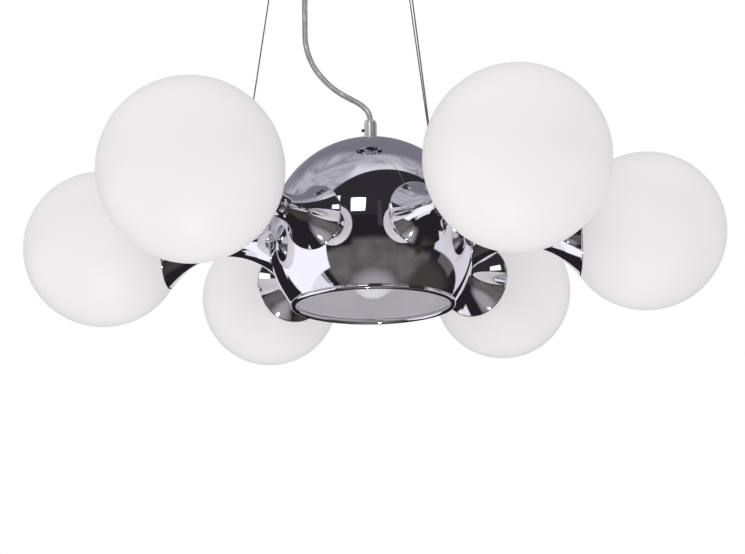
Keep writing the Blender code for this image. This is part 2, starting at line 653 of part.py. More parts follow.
dome_outline = dome_arc(DOME_RADIUS, DOME_POINTS)
for k in range(BEAD_POINTS + 1):
    share = BEAD_START_SHARE - (BEAD_START_SHARE + BEAD_END_SHARE) * k / BEAD_POINTS
    turn = share * math.pi / 2.0
    dome_outline.append((bead_circle + BEAD_RADIUS * math.cos(turn),
                         -DOME_MOUTH_DEPTH + BEAD_RADIUS * math.sin(turn)))
dome_outline += dome_arc(DOME_INNER, DOME_POINTS)[:0:-1]
boss_top = math.sqrt(DOME_INNER ** 2 - STEM_NUT_RADIUS ** 2)
dome_outline += [
    (STEM_NUT_RADIUS, boss_top),
    (STEM_NUT_RADIUS, boss_top - STEM_NUT_HEIGHT),
    (stem_hole, boss_top - STEM_NUT_HEIGHT),
]
dome = turned("dome_shell", dome_outline, DOME_STEPS, lamp, CHROME,
              rotation=(0.0, 0.0, math.pi / DOME_STEPS))
arm_nut = disc(ARM_NUT_RADIUS, DOME_INNER - ARM_NUT_HEIGHT, DOME_INNER)
arm_hole = disc(TUBE_RADIUS + TOUCH, DOME_INNER - ARM_NUT_HEIGHT - OVERRUN,
                DOME_RADIUS + OVERRUN)
for i, arm_frame in enumerate(arm_frames):
    cut(dome, turned(f"arm_nut_{i + 1}", arm_nut, HEX_STEPS, arm_frame), "UNION")
    cut(dome, turned(f"arm_hole_{i + 1}", arm_hole, SMALL_STEPS, arm_frame,
                     rotation=(0.0, 0.0, math.pi / SMALL_STEPS)))

# Wiring harness: a terminal ring on the reflector's crown, screwed on the stem, and one
# two-core lead from it through each arm's tube to the lampholder
ring_foot = REFLECTOR_CROWN + TOUCH
harness = turned("wiring_harness", ring(stem_hole, TERMINAL_RING_RADIUS, ring_foot,
                                        ring_foot + TERMINAL_RING_HEIGHT),
                 TERMINAL_RING_STEPS, lamp, WHITE_PLASTIC)
lead_in = TERMINAL_RING_RADIUS - OVERRUN
lead_path = [(GALLERY_DISTANCE + GALLERY_WALL, 0.0, 0.0), (WAIST_DISTANCE, 0.0, 0.0),
             (RIM_AT_DOME, 0.0, 0.0)]
lead_path += [(lead_in + x * (DOME_INNER - lead_in), 0.0, z * (REFLECTOR_CROWN + LEAD_TOP))
              for x, z in LEAD_SHARES]
lead_curve = tube("lead_curve", lead_path, LEAD_RADIUS, 1, None, WHITE_PLASTIC)
bpy.context.view_layer.update()
lead_mesh = bpy.data.meshes.new_from_object(
    lead_curve.evaluated_get(bpy.context.evaluated_depsgraph_get()))
bpy.data.objects.remove(lead_curve, do_unlink=True)
bm = bmesh.new()
bm.from_mesh(lead_mesh)
bmesh.ops.remove_doubles(bm, verts=bm.verts, dist=MERGE)
bm.to_mesh(lead_mesh)
bm.free()
for i in range(ARM_COUNT):
    lead = add(f"arm_lead_{i + 1}", lead_mesh, lamp, rotation=(0.0, 0.0, i * ARM_STEP))
    cut(harness, lead, "UNION")

# Reflector: a spun bowl whose edge rests in the dome's rolled edge
edge_radius = bead_circle - BEAD_RADIUS / 2.0
edge_height = -DOME_MOUTH_DEPTH + BEAD_RADIUS * math.sin(math.pi / 3.0) + TOUCH
bowl_height = REFLECTOR_CROWN - edge_height
bowl = [(stem_hole, REFLECTOR_CROWN)]
bowl += [(r * REFLECTOR_RADIUS, edge_height + h * bowl_height) for r, h in BOWL_SHARES]
bowl.append((edge_radius, edge_height))
inner_bowl = []
for before, point, after in zip(bowl[:1] + bowl, bowl, bowl[1:] + bowl[-1:]):
    slope = (Vector(after) - Vector(before)).normalized()
    inner = Vector(point) + Vector((slope.y, -slope.x)) * REFLECTOR_WALL
    inner_bowl.append((max(inner.x, stem_hole), inner.y))
inner_bowl[0] = (stem_hole, REFLECTOR_CROWN - REFLECTOR_WALL)
inner_bowl[-1] = (edge_radius - REFLECTOR_WALL, edge_height)
turned("reflector", bowl + inner_bowl[::-1], REFLECTOR_STEPS, lamp, SATIN)

# Central lampholder: screwed on the stem's lower end, mouth downwards
socket_bore = CAP_RADIUS + THREAD_PLAY
socket_top = HOLDER_MOUTH + CAP_LENGTH + CAP_TIP_LENGTH
holder_outline = [
    (0.0, STEM_FOOT - TOUCH),
    (STEM_RADIUS + TOUCH, STEM_FOOT - TOUCH),
    (STEM_RADIUS + TOUCH, HOLDER_TOP),
    (HOLDER_RADIUS - HOLDER_CHAMFER, HOLDER_TOP),
    (HOLDER_RADIUS, HOLDER_TOP - HOLDER_CHAMFER),
    (HOLDER_RADIUS, HOLDER_MOUTH),
    (socket_bore, HOLDER_MOUTH),
    (socket_bore, socket_top),
    (0.0, socket_top),
]
turned("center_lampholder", holder_outline, MIDDLE_STEPS, lamp, BLACK_PLASTIC)

# Central bulb: a screw cap and a round frosted glass
cap_foot = HOLDER_MOUTH - TOUCH
bulb_centre = HOLDER_MOUTH - BULB_DROP
bulb_outline = [
    (0.0, cap_foot + CAP_LENGTH + CAP_TIP_LENGTH - TOUCH),
    (CAP_TIP_RADIUS, cap_foot + CAP_LENGTH + CAP_TIP_LENGTH - TOUCH),
    (CAP_TIP_RADIUS * 2.0, cap_foot + CAP_LENGTH),
    (CAP_RADIUS, cap_foot + CAP_LENGTH - CAP_TIP_LENGTH),
    (CAP_RADIUS, cap_foot),
    (BULB_NECK_RADIUS, cap_foot - BULB_NECK_RADIUS / 4.0),
]
for k in range(BULB_POINTS):
    turn = BULB_NECK_TURN - (BULB_NECK_TURN + math.pi / 2.0) * k / BULB_POINTS
    bulb_outline.append((BULB_RADIUS * math.cos(turn), bulb_centre + BULB_RADIUS * math.sin(turn)))
bulb_outline.append((0.0, bulb_centre - BULB_RADIUS))
turned("center_bulb", bulb_outline, GLOBE_STEPS, lamp, FROSTED)

# Arms: hollow trumpets between the dome and the globes
stations = [WAIST_DISTANCE + (RIM_AT_GLOBE - WAIST_DISTANCE) * share
            for share in reversed(FLARE_SHARES)]
stations += [WAIST_DISTANCE + (RIM_AT_DOME - WAIST_DISTANCE) * share
             for share in FLARE_SHARES[1:]]
arm_outline = [(flare_radius(at), at) for at in stations]
lip_at_dome = DOME_FLARE_RADIUS - RIM_LIP
lip_at_globe = GLOBE_FLARE_RADIUS - RIM_LIP
arm_outline.append((lip_at_dome, math.sqrt((DOME_RADIUS + TOUCH) ** 2 - lip_at_dome ** 2)))
arm_outline += [(flare_bore(at), at) for at in reversed(stations[1:-1])]
arm_outline.append((lip_at_globe, GLOBE_DISTANCE
                    - math.sqrt((GLOBE_RADIUS + TOUCH) ** 2 - lip_at_globe ** 2)))
for i, arm_frame in enumerate(arm_frames):
    arm = turned(f"arm_{i + 1}", arm_outline, ARM_STEPS, arm_frame, CHROME)
    if i in ROPE_ARMS:
        hole = disc(ROPE_HOLE, -ARM_WALL - OVERRUN, OVERRUN)
        foot_frame = rope_feet[ROPE_ARMS.index(i)]
        cut(arm, turned(f"rope_hole_{i + 1}", hole, SMALL_STEPS, foot_frame))

# Arm stems: a threaded tube screwed into the dome's nut, with the globe's gallery on its
# outer end, which clamps the arm against the dome
gallery_radius = flare_bore(GALLERY_DISTANCE) - TOUCH
gallery_bore = NECK_RADIUS + THREAD_PLAY
stem_outline = [
    (gallery_bore + GALLERY_WALL, GALLERY_FRONT),
    (gallery_radius, GALLERY_DISTANCE + GALLERY_WALL),
    (gallery_radius, GALLERY_DISTANCE),
    (TUBE_RADIUS, GALLERY_DISTANCE),
    (TUBE_RADIUS, TUBE_START),
    (TUBE_BORE, TUBE_START),
    (TUBE_BORE, GALLERY_DISTANCE + GALLERY_WALL),
    (gallery_bore, GALLERY_DISTANCE + GALLERY_WALL),
    (gallery_bore, GALLERY_FRONT),
]

# Lampholders: ceramic sockets on the galleries
socket_front = SOCKET_END - BASE_LENGTH - TOUCH
socket_outline = [
    (0.0, socket_front),
    (BASE_RADIUS + THREAD_PLAY, socket_front),
    (BASE_RADIUS + THREAD_PLAY, SOCKET_END),
    (SOCKET_RADIUS, SOCKET_END),
    (SOCKET_RADIUS, SOCKET_START),
    (0.0, SOCKET_START),
]

# Seal, globe and bulb on each arm. A globe screws on by its neck, and the seal on the neck
# goes along with it; a capsule bulb pulls straight out of its holder.
seal_outline = ring(NECK_RADIUS + THREAD_PLAY, SEAL_RADIUS, GALLERY_FRONT + TOUCH,
                    GALLERY_FRONT + TOUCH + SEAL_THICKNESS)
inner_radius = GLOBE_RADIUS - GLASS_WALL


def globe_arc(radius, neck):
    """Points down a sphere about the globe's centre, from its far pole to its neck."""
    last = -math.acos(neck / radius)
    angles = [math.pi / 2.0 + (last - math.pi / 2.0) * k / GLOBE_RINGS
              for k in range(1, GLOBE_RINGS + 1)]
    arc = [(radius * math.cos(a), GLOBE_DISTANCE + radius * math.sin(a)) for a in angles]
    return [(0.0, GLOBE_DISTANCE + radius)] + arc


globe_outline = globe_arc(GLOBE_RADIUS, NECK_RADIUS)
globe_outline += [(NECK_RADIUS, NECK_END), (NECK_BORE, NECK_END)]
globe_outline += globe_arc(inner_radius, NECK_BORE)[::-1]
base_start = SOCKET_END - BASE_LENGTH
capsule_end = base_start + BASE_LENGTH + CAPSULE_LENGTH
capsule_outline = [
    (0.0, capsule_end),
    (CAPSULE_RADIUS * CAPSULE_TIP_SHARE, capsule_end - CAPSULE_SHOULDER / 2.0),
    (CAPSULE_RADIUS, capsule_end - CAPSULE_RADIUS),
    (CAPSULE_RADIUS, SOCKET_END + CAPSULE_SHOULDER),
    (BASE_RADIUS, SOCKET_END + TOUCH),
    (BASE_RADIUS, base_start),
    (0.0, base_start),
]
for i, arm_frame in enumerate(arm_frames):
    turned(f"arm_stem_{i + 1}", stem_outline, ARM_STEPS, arm_frame, STEEL)
    turned(f"lampholder_{i + 1}", socket_outline, MIDDLE_STEPS, arm_frame, CERAMIC)
    turned(f"globe_seal_{i + 1}", seal_outline, GLOBE_STEPS, arm_frame, SILICONE)
    turned(f"globe_{i + 1}", globe_outline, GLOBE_STEPS, arm_frame, OPAL)
    turned(f"bulb_{i + 1}", capsule_outline, SMALL_STEPS, arm_frame, CLEAR_GLASS)
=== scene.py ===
"""The chandelier's looks: chromed dome and arms, opal globes, steel ropes and a clear cable.

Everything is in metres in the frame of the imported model: +Z up, the origin on the ceiling
above the dome. The arms lie in one level plane, DROP below the ceiling. Sections follow the
object from the ceiling down, after the camera and the cords.
"""

import math

import bmesh
import bpy
from mathutils import Matrix, Vector


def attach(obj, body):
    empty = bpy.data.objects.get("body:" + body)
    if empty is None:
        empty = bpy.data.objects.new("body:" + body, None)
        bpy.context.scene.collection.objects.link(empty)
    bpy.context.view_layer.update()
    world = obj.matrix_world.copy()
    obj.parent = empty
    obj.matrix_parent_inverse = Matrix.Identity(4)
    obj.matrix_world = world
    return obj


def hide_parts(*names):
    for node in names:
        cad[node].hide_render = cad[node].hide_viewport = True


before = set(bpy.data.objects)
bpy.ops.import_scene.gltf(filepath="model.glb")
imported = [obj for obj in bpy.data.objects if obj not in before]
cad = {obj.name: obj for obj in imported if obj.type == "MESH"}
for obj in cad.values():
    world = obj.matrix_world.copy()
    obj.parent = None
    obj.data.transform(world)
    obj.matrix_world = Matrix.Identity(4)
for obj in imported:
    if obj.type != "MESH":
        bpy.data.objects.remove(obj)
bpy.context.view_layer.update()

# Camera. It stands below the arm plane and looks up at the lamp, at the photograph's angle.
# Its place and lens were fitted to the outlines of the globes, the dome's rim and the grip.
camera_data = bpy.data.cameras.new("camera")
camera_data.lens = 65.13
camera_data.sensor_width = 36.0
camera_data.shift_x = -0.0302
camera_data.clip_start = 0.05
camera = bpy.data.objects.new("camera", camera_data)
camera.location = (0.07804, -1.23734, -0.89934)
camera.rotation_euler = [math.radians(turn) for turn in (104.158, 1.163, 2.936)]
bpy.context.scene.collection.objects.link(camera)
bpy.context.scene.camera = camera
bpy.context.scene.view_settings.view_transform = "Standard"

# Supply cable. Three cores of tinned copper strands, laid up together in a clear PVC jacket.
# It leaves the cord grip, swings out to one side and comes back to the canopy's gland.
DROP = 0.550                     # from the ceiling down to the arm plane
CANOPY_SHIFT = -0.0103           # the canopy's centre, along X
CABLE_START = 0.1081             # the cable's ends, above the arm plane
CABLE_END = 0.5320
GRIP_TOP = 0.1213
GLAND_MOUTH = 0.4937
CABLE_BOW = -0.0638              # how far along X the cable swings out
CABLE_SHARES = (                 # of the bow, and of the way from the grip up to the gland
    (0.0251, 0.0207), (0.0925, 0.0373), (0.1881, 0.0508), (0.2978, 0.0620),
    (0.4154, 0.0744), (0.5329, 0.0894), (0.6426, 0.1066), (0.7524, 0.1286),
    (0.8511, 0.1539), (0.9263, 0.1815), (0.9702, 0.2062), (0.9937, 0.2328),
    (1.0, 0.2650), (1.0, 0.3000), (1.0, 0.3456), (0.9655, 0.4261), (0.8730, 0.5067),
    (0.7414, 0.5873), (0.5909, 0.6678), (0.4373, 0.7484), (0.3041, 0.8289),
    (0.2053, 0.9095),
)
CABLE_RADIUS = 0.0027
CORE_BUNDLE_RADIUS = 0.0021      # of the three cores together, before their lobes
CORE_LOBE = 0.10                 # how far a core stands out of the bundle, as a share
CORE_LAY = 0.095                 # length in which the cores go once round each other
CABLE_SPACING = 0.003            # between the points that the cable follows


def linear(code):
    """An sRGB hex colour as the linear values that a socket takes."""
    parts = [int(code[k:k + 2], 16) / 255.0 for k in (0, 2, 4)]
    return (*[c / 12.92 if c <= 0.04045 else ((c + 0.055) / 1.055) ** 2.4 for c in parts], 1.0)


def add_node(tree, kind, settings=None, links=None):
    """A node with its settings, and links into its sockets, both by name or number."""
    made = tree.nodes.new(kind)
    for key, value in (settings or {}).items():
        if isinstance(key, str) and hasattr(made, key):
            setattr(made, key, value)
        else:
            made.inputs[key].default_value = value
    for key, source in (links or {}).items():
        tree.links.new(source, made.inputs[key])
    return made


def surface(name, grain=None, colours=None, roughness=None, bump=None, rings=False, **values):
    """A Principled material, with a grain that lies on the piece's own coordinates.

    The grain is a texture's kind, the width of its patches in millimetres and its settings.
    It runs between two colours and two values of roughness, and raises a bump of a strength
    and a height. On a turned piece it lies in rings, along Z alone.
    """
    made = bpy.data.materials.new(name)
    made.use_nodes = True
    tree = made.node_tree
    shader = tree.nodes["Principled BSDF"]
    for key, value in values.items():
        shader.inputs[key.replace("_", " ")].default_value = value
    if grain is None:
        return made
    kind, width, settings = grain
    socket = "Vector"
    where = add_node(tree, "ShaderNodeTexCoord").outputs["Object"]
    if rings:
        socket = "W"
        where = add_node(tree, "ShaderNodeSeparateXYZ", None, {"Vector": where}).outputs["Z"]
        settings = {"noise_dimensions": "1D", **settings}
    pattern = add_node(tree, kind, {"Scale": 1000.0 / width, **settings}, {socket: where})
    if colours:
        tint = add_node(tree, "ShaderNodeMix", {"data_type": "RGBA", 6: linear(colours[0]),
                                                7: linear(colours[1])}, {0: pattern.outputs[0]})
        tree.links.new(tint.outputs[2], shader.inputs["Base Color"])
    if roughness:
        gloss = add_node(tree, "ShaderNodeMapRange", {"To Min": roughness[0],
                                                      "To Max": roughness[1]},
                         {"Value": pattern.outputs[0]})
        tree.links.new(gloss.outputs[0], shader.inputs["Roughness"])
    if bump:
        raised = add_node(tree, "ShaderNodeBump", {"Strength": bump[0], "Distance": bump[1]},
                          {"Height": pattern.outputs[0]})
        tree.links.new(raised.outputs[0], shader.inputs["Normal"])
    return made


def smooth_path(route, spacing):
    """Points about one spacing apart on a smooth curve through a route's points."""
    knots = [Vector(point) for point in route]
    knots = [2.0 * knots[0] - knots[1]] + knots + [2.0 * knots[-1] - knots[-2]]
    fine = []
    fine_steps = 16
    for p0, p1, p2, p3 in zip(knots, knots[1:], knots[2:], knots[3:]):
        t1 = (p1 - p0).length ** 0.5
        t2 = t1 + (p2 - p1).length ** 0.5
        t3 = t2 + (p3 - p2).length ** 0.5
        for k in range(fine_steps):
            t = t1 + (t2 - t1) * k / fine_steps
            a1 = p0.lerp(p1, t / t1)
            a2 = p1.lerp(p2, (t - t1) / (t2 - t1))
            a3 = p2.lerp(p3, (t - t2) / (t3 - t2))
            b1 = a1.lerp(a2, t / t2)
            b2 = a2.lerp(a3, (t - t1) / (t3 - t1))
            fine.append(b1.lerp(b2, (t - t1) / (t2 - t1)))
    fine.append(knots[-2])
    reach = [0.0]
    for a, b in zip(fine, fine[1:]):
        reach.append(reach[-1] + (b - a).length)
    count = max(2, round(reach[-1] / spacing))
    path = []
    k = 0
    for n in range(count + 1):
        goal = reach[-1] * n / count
        while k < len(fine) - 2 and reach[k + 1] < goal:
            k += 1
        path.append(fine[k].lerp(fine[k + 1], (goal - reach[k]) / (reach[k + 1] - reach[k])))
    return path


def open_tree(name, **inputs):
    """A Geometry Nodes tree that gives geometry, and its named inputs, each of a kind."""
    tree = bpy.data.node_groups.new(name, "GeometryNodeTree")
    tree.interface.new_socket(name="Geometry", in_out="OUTPUT",
                              socket_type="NodeSocketGeometry")
    for key, kind in inputs.items():
        tree.interface.new_socket(name=key.replace("_", " "), in_out="INPUT",
                                  socket_type="NodeSocket" + kind)
    return tree, add_node(tree, "NodeGroupInput").outputs


def close_tree(tree, swept, material):
    """Shade what a tree has swept, give it its material and pass it on as one mesh."""
    smooth = add_node(tree, "GeometryNodeSetShadeSmooth", None, {"Geometry": swept})
    real = add_node(tree, "GeometryNodeRealizeInstances", None, {"Geometry": smooth.outputs[0]})
    dressed = add_node(tree, "GeometryNodeSetMaterial", None,
                       {"Geometry": real.outputs[0], "Material": material})
    add_node(tree, "NodeGroupOutput", None, {"Geometry": dressed.outputs[0]})
    return tree


def twisted_tree():
    """Geometry Nodes that sweep a lobed section along a curve and twist it by its lay."""
    tree, given = open_tree("twisted_strands", Line="Geometry", Radius="Float", Lobes="Int",
                            Lobe_share="Float", Lay="Float", Spacing="Float",
                            Material="Material")
    along = add_node(tree, "GeometryNodeResampleCurve", {"mode": "LENGTH"},
                     {"Curve": given["Line"], "Length": given["Spacing"]})
    run = add_node(tree, "GeometryNodeSplineParameter")
    turns = add_node(tree, "ShaderNodeMath", {"operation": "DIVIDE"},
                     {0: run.outputs["Length"], 1: given["Lay"]})
    turned_by = add_node(tree, "ShaderNodeMath", {"operation": "MULTIPLY", 1: 2.0 * math.pi},
                         {0: turns.outputs[0]})
    tilted = add_node(tree, "GeometryNodeSetCurveTilt", None,
                      {"Curve": along.outputs[0], "Tilt": turned_by.outputs[0]})
    points_a_lobe = 8.0
    section_points = add_node(tree, "ShaderNodeMath",
                              {"operation": "MULTIPLY", 1: points_a_lobe}, {0: given["Lobes"]})
    section = add_node(tree, "GeometryNodeCurvePrimitiveCircle", None,
                       {"Resolution": section_points.outputs[0], "Radius": given["Radius"]})
    round_it = add_node(tree, "GeometryNodeSplineParameter")
    angle = add_node(tree, "ShaderNodeMath", {"operation": "MULTIPLY", 1: 2.0 * math.pi},
                     {0: round_it.outputs["Factor"]})
    lobe_angle = add_node(tree, "ShaderNodeMath", {"operation": "MULTIPLY"},
                          {0: angle.outputs[0], 1: given["Lobes"]})
    wave = add_node(tree, "ShaderNodeMath", {"operation": "COSINE"},
                    {0: lobe_angle.outputs[0]})
    swell = add_node(tree, "ShaderNodeMath", {"operation": "MULTIPLY_ADD", 2: 1.0},
                     {0: wave.outputs[0], 1: given["Lobe share"]})
    place = add_node(tree, "GeometryNodeInputPosition")
    scaled = add_node(tree, "ShaderNodeVectorMath", {"operation": "SCALE"},
                      {0: place.outputs[0], "Scale": swell.outputs[0]})
    lobed = add_node(tree, "GeometryNodeSetPosition", None,
                     {"Geometry": section.outputs["Curve"], "Position": scaled.outputs[0]})
    swept = add_node(tree, "GeometryNodeCurveToMesh", {"Fill Caps": True},
                     {"Curve": tilted.outputs[0], "Profile Curve": lobed.outputs[0]})
    return close_tree(tree, swept.outputs[0], given["Material"])


def grown(name, line, tree, body, **inputs):
    """A piece that a node tree grows on a line of points, made a plain mesh on its body."""
    curve = bpy.data.curves.new(name + "_line", "CURVE")
    curve.dimensions = "3D"
    spline = curve.splines.new("POLY")
    spline.points.add(len(line) - 1)
    for point, place in zip(spline.points, line):
        point.co = (*place, 1.0)
    source = bpy.data.objects.new(name + "_line", curve)
    bpy.context.scene.collection.objects.link(source)
    grower = source.modifiers.new("growing", "NODES")
    grower.node_group = tree
    sockets = {item.name: item.identifier for item in tree.interface.items_tree
               if item.in_out == "INPUT"}
    for key, value in inputs.items():
        grower[sockets[key.replace("_", " ")]] = value
    bpy.context.view_layer.update()
    mesh = bpy.data.meshes.new_from_object(
        source.evaluated_get(bpy.context.evaluated_depsgraph_get()))
    bpy.data.objects.remove(source, do_unlink=True)
    mesh.name = name
    piece = bpy.data.objects.new(name, mesh)
    bpy.context.scene.collection.objects.link(piece)
    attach(piece, body)
    return piece


# Clear plasticised PVC, extruded: glossy and a little cloudy at its skin. Its colour is painted
# darker towards its edges, a painted shade for where the eye looks through more of it.
clear_pvc = surface("clear_pvc_extruded", ("ShaderNodeTexNoise", 5.56, {"Detail": 2.0}),
                    roughness=(0.05, 0.16), Metallic=0.0, IOR=1.46, Transmission_Weight=1.0)
tree = clear_pvc.node_tree
# Painted edge shade: the colour runs from pale to dark grey as the skin turns away from the eye
edge = add_node(tree, "ShaderNodeLayerWeight", {"Blend": 0.35})
pvc_painted_edge_shade = add_node(tree, "ShaderNodeMix", {"data_type": "RGBA", 6: linear("DDDFE2"),
                                              7: linear("77787C")}, {0: edge.outputs["Facing"]})
tree.links.new(pvc_painted_edge_shade.outputs[2], tree.nodes["Principled BSDF"].inputs["Base Color"])

# Tinned copper strands, drawn and bunched: silvery, paler and darker by turns along the lay
tinned = surface("tinned_copper_strands", ("ShaderNodeTexNoise", 14.3, {"Detail": 2.0}),
                 ("A6A6AA", "D6D7DB"), Metallic=1.0, Roughness=0.32)

route = [(0.0, CABLE_START), (0.0, (CABLE_START + GRIP_TOP) / 2.0), (0.0, GRIP_TOP)]
route += [(x * CABLE_BOW, GRIP_TOP + z * (GLAND_MOUTH - GRIP_TOP)) for x, z in CABLE_SHARES]
route += [(CANOPY_SHIFT, z) for z in (GLAND_MOUTH, (GLAND_MOUTH + CABLE_END) / 2.0, CABLE_END)]
cable_path = smooth_path([(x, 0.0, z - DROP) for x, z in route], CABLE_SPACING)
strands = twisted_tree()
cores = grown("cable_cores", cable_path, strands, "hanging_frame",
              Radius=CORE_BUNDLE_RADIUS, Lobes=3, Lobe_share=CORE_LOBE, Lay=CORE_LAY,
              Spacing=0.0015, Material=tinned)
cable = grown("supply_cable_jacket", cable_path, strands, "hanging_frame",
              Radius=CABLE_RADIUS, Lobes=4, Lobe_share=0.0, Lay=1.0, Spacing=0.002,
              Material=clear_pvc)
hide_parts("supply_cable")

# Steel ropes. Six strands of bright steel wire laid round a core, 1.4 mm thick, that carry
# the lamp. Each is stopped inside its arm by a crimped sleeve and ends in its gripper.
ARM_STEP = math.pi / 3.0
ROPE_ARMS = (1, 3, 5)            # counted from the arm along +X
ROPE_RADIUS = 0.0007
ROPE_LAY = 0.0085
ROPE_FOOT = (0.1345, -0.00286)   # along the arm and to the side, where a rope enters it
ROPE_FOOT_RADIUS = 0.01184       # the arm's radius there
GRIPPER_CIRCLE = 0.0571
CANOPY_TURN = 0.0345             # the canopy is turned this far about Z, in radians
NOSE_HEIGHT = 0.4947             # the grippers' lower ends, above the arm plane
GRIPPER_TOP = 0.5197
ROPE_END = 0.5307
ROPE_BEND = 0.008                # where the bend is centred, below a gripper's nose
ROPE_SHARES = (0.3, 0.6, 0.8, 0.9, 0.96)    # points on the way up to the bend
NOSE_SHARES = (0.1, 0.5)         # and on from the nose to the rope's end
ROPE_LOBE = 0.1                  # how far a strand stands out of the rope, as a share
ROPE_SPACING = 0.004             # between the points that the rope follows
RINGS_A_LAY = 12.0
STOP_DEPTH = 0.0026
STOP_LENGTH = 0.0032
STOP_RADIUS = 0.0018

# Bright drawn steel wire, oiled in the laying: warm grey, with darker traces of the oil
rope_steel = surface("bright_steel_wire_rope", ("ShaderNodeTexNoise", 3.85, {"Detail": 4.0}),
                     ("8C7A6A", "D3C4B4"), Metallic=1.0, Roughness=0.36)

for n, arm in enumerate(ROPE_ARMS):
    turn = arm * ARM_STEP
    along = Vector((math.cos(turn), math.sin(turn), 0.0))
    across = Vector((-math.sin(turn), math.cos(turn), 0.0))
    foot = along * ROPE_FOOT[0] + across * ROPE_FOOT[1]
    foot.z = math.sqrt(ROPE_FOOT_RADIUS ** 2 - ROPE_FOOT[1] ** 2) - DROP
    nose = Vector((CANOPY_SHIFT + GRIPPER_CIRCLE * math.cos(turn + CANOPY_TURN),
                   GRIPPER_CIRCLE * math.sin(turn + CANOPY_TURN), NOSE_HEIGHT - DROP))
    bend = nose - Vector((0.0, 0.0, ROPE_BEND))
    lead = (bend - foot).normalized()
    end = Vector((nose.x, nose.y, ROPE_END - DROP))
    stop_top = foot - lead * STOP_DEPTH
    route = [stop_top, foot, *[foot.lerp(bend, share) for share in ROPE_SHARES],
             nose, *[nose.lerp(end, share) for share in NOSE_SHARES], end]
    path = smooth_path(route, ROPE_SPACING)
    rope = grown(f"wire_rope_{n + 1}", path, strands, "hanging_frame",
                 Radius=ROPE_RADIUS / (1.0 + ROPE_LOBE), Lobes=6, Lobe_share=ROPE_LOBE,
                 Lay=ROPE_LAY, Spacing=ROPE_LAY / RINGS_A_LAY, Material=rope_steel)
    stop = grown(f"rope_stop_{n + 1}", [stop_top - lead * STOP_LENGTH, stop_top], strands,
                 "hanging_frame", Radius=STOP_RADIUS, Lobes=3, Lobe_share=0.0, Lay=1.0,
                 Spacing=STOP_LENGTH, Material=rope_steel)
    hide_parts(f"steel_rope_{n + 1}")

# Ceiling plate and terminal block. The plate is pressed from zinc-plated steel and screwed
# to the ceiling; the block under it is moulded nylon. The cover hides both.

# Zinc plate on steel: a dull blue-grey, mottled by its spangles
zinc_plate = surface("zinc_plated_steel", ("ShaderNodeTexVoronoi", 9.1, {}),
                     ("A9ADB0", "C6C9CB"), (0.28, 0.45), Metallic=1.0)

# Moulded nylon: creamy white and matt, with a faint unevenness from the mould
moulded_nylon = surface("moulded_white_nylon", ("ShaderNodeTexNoise", 16.7, {"Detail": 3.0}),
                        ("E6E5DF", "F1F0EB"), bump=(0.15, 0.0001), IOR=1.53, Roughness=0.45)


def dress(material, *names):
    """Give CAD nodes a material."""
    for name in names:
        cad[name].data.materials.clear()
        cad[name].data.materials.append(material)


dress(zinc_plate, "ceiling_plate")
dress(moulded_nylon, "canopy_terminal", "wiring_harness")

# Canopy cover. A shallow cup spun from sheet, held on the plate's ears by two knurled screws.
# It is polished and chromed like the dome.
CANOPY_RADIUS = 0.0765
CANOPY_HEIGHT = 0.030
CANOPY_WALL = 0.0012
CANOPY_FILLET = 0.004
CANOPY_GAP = 0.0003              # between the rim and the ceiling


def arc(centre, radius, first, last, count):
    """Outline points on an arc about (radius, height), between two angles in degrees."""
    turns = [math.radians(first + (last - first) * k / count) for k in range(count + 1)]
    return [(centre[0] + radius * math.cos(t), centre[1] + radius * math.sin(t))
            for t in turns]


def lathe(name, outline, steps, material, body, place, crease=35.0, wobble=None):
    """A piece turned about its Z from an outline of (radius, height), then put in its place.

    An outline that starts and ends on the axis closes itself there, and any other is a ring.
    A run six times as long as its neighbour gets a point near that end, to keep its shading.
    """
    uneven, shortest, from_end = 6.0, 0.001, 0.0002
    runs = [math.dist(a, b) for a, b in zip(outline, outline[1:])]
    dense = [outline[0]]
    for n, (a, b) in enumerate(zip(outline, outline[1:])):
        near = [run for run in runs[max(n - 1, 0):n + 2] if run > 0.0]
        if runs[n] > uneven * min(near) and runs[n] > shortest:
            share = from_end / runs[n]
            dense += [(a[0] + (b[0] - a[0]) * t, a[1] + (b[1] - a[1]) * t)
                      for t in (share, 1.0 - share)]
        dense.append(b)
    verts = []
    rows = []
    for radius, height in dense:
        if radius <= 0.0:
            rows.append([len(verts)] * steps)
            verts.append((0.0, 0.0, height))
            continue
        rows.append(list(range(len(verts), len(verts) + steps)))
        for k in range(steps):
            turn = 2.0 * math.pi * k / steps
            out = radius * (wobble(height, turn) if wobble else 1.0)
            verts.append((out * math.cos(turn), out * math.sin(turn), height))
    closed = dense[0][0] > 0.0
    faces = []
    for upper, lower in zip(rows, rows[1:] + rows[:1] if closed else rows[1:]):
        for k in range(steps):
            j = (k + 1) % steps
            corners = [upper[k], lower[k], lower[j], upper[j]]
            faces.append([v for i, v in enumerate(corners) if v not in corners[:i]])
    mesh = bpy.data.meshes.new(name)
    mesh.from_pydata([place @ Vector(v) for v in verts], [], faces)
    mesh.materials.append(material)
    mesh.shade_smooth()
    mesh.set_sharp_from_angle(angle=math.radians(crease))
    piece = bpy.data.objects.new(name, mesh)
    bpy.context.scene.collection.objects.link(piece)
    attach(piece, body)
    return piece


# Chrome plate on polished brass: a cool mirror, here and there a little duller from wiping
chrome = surface("chrome_plate_polished", ("ShaderNodeTexNoise", 28.6, {"Detail": 5.0}),
                 roughness=(0.015, 0.06), Metallic=1.0, Base_Color=linear("E7E7EC"))

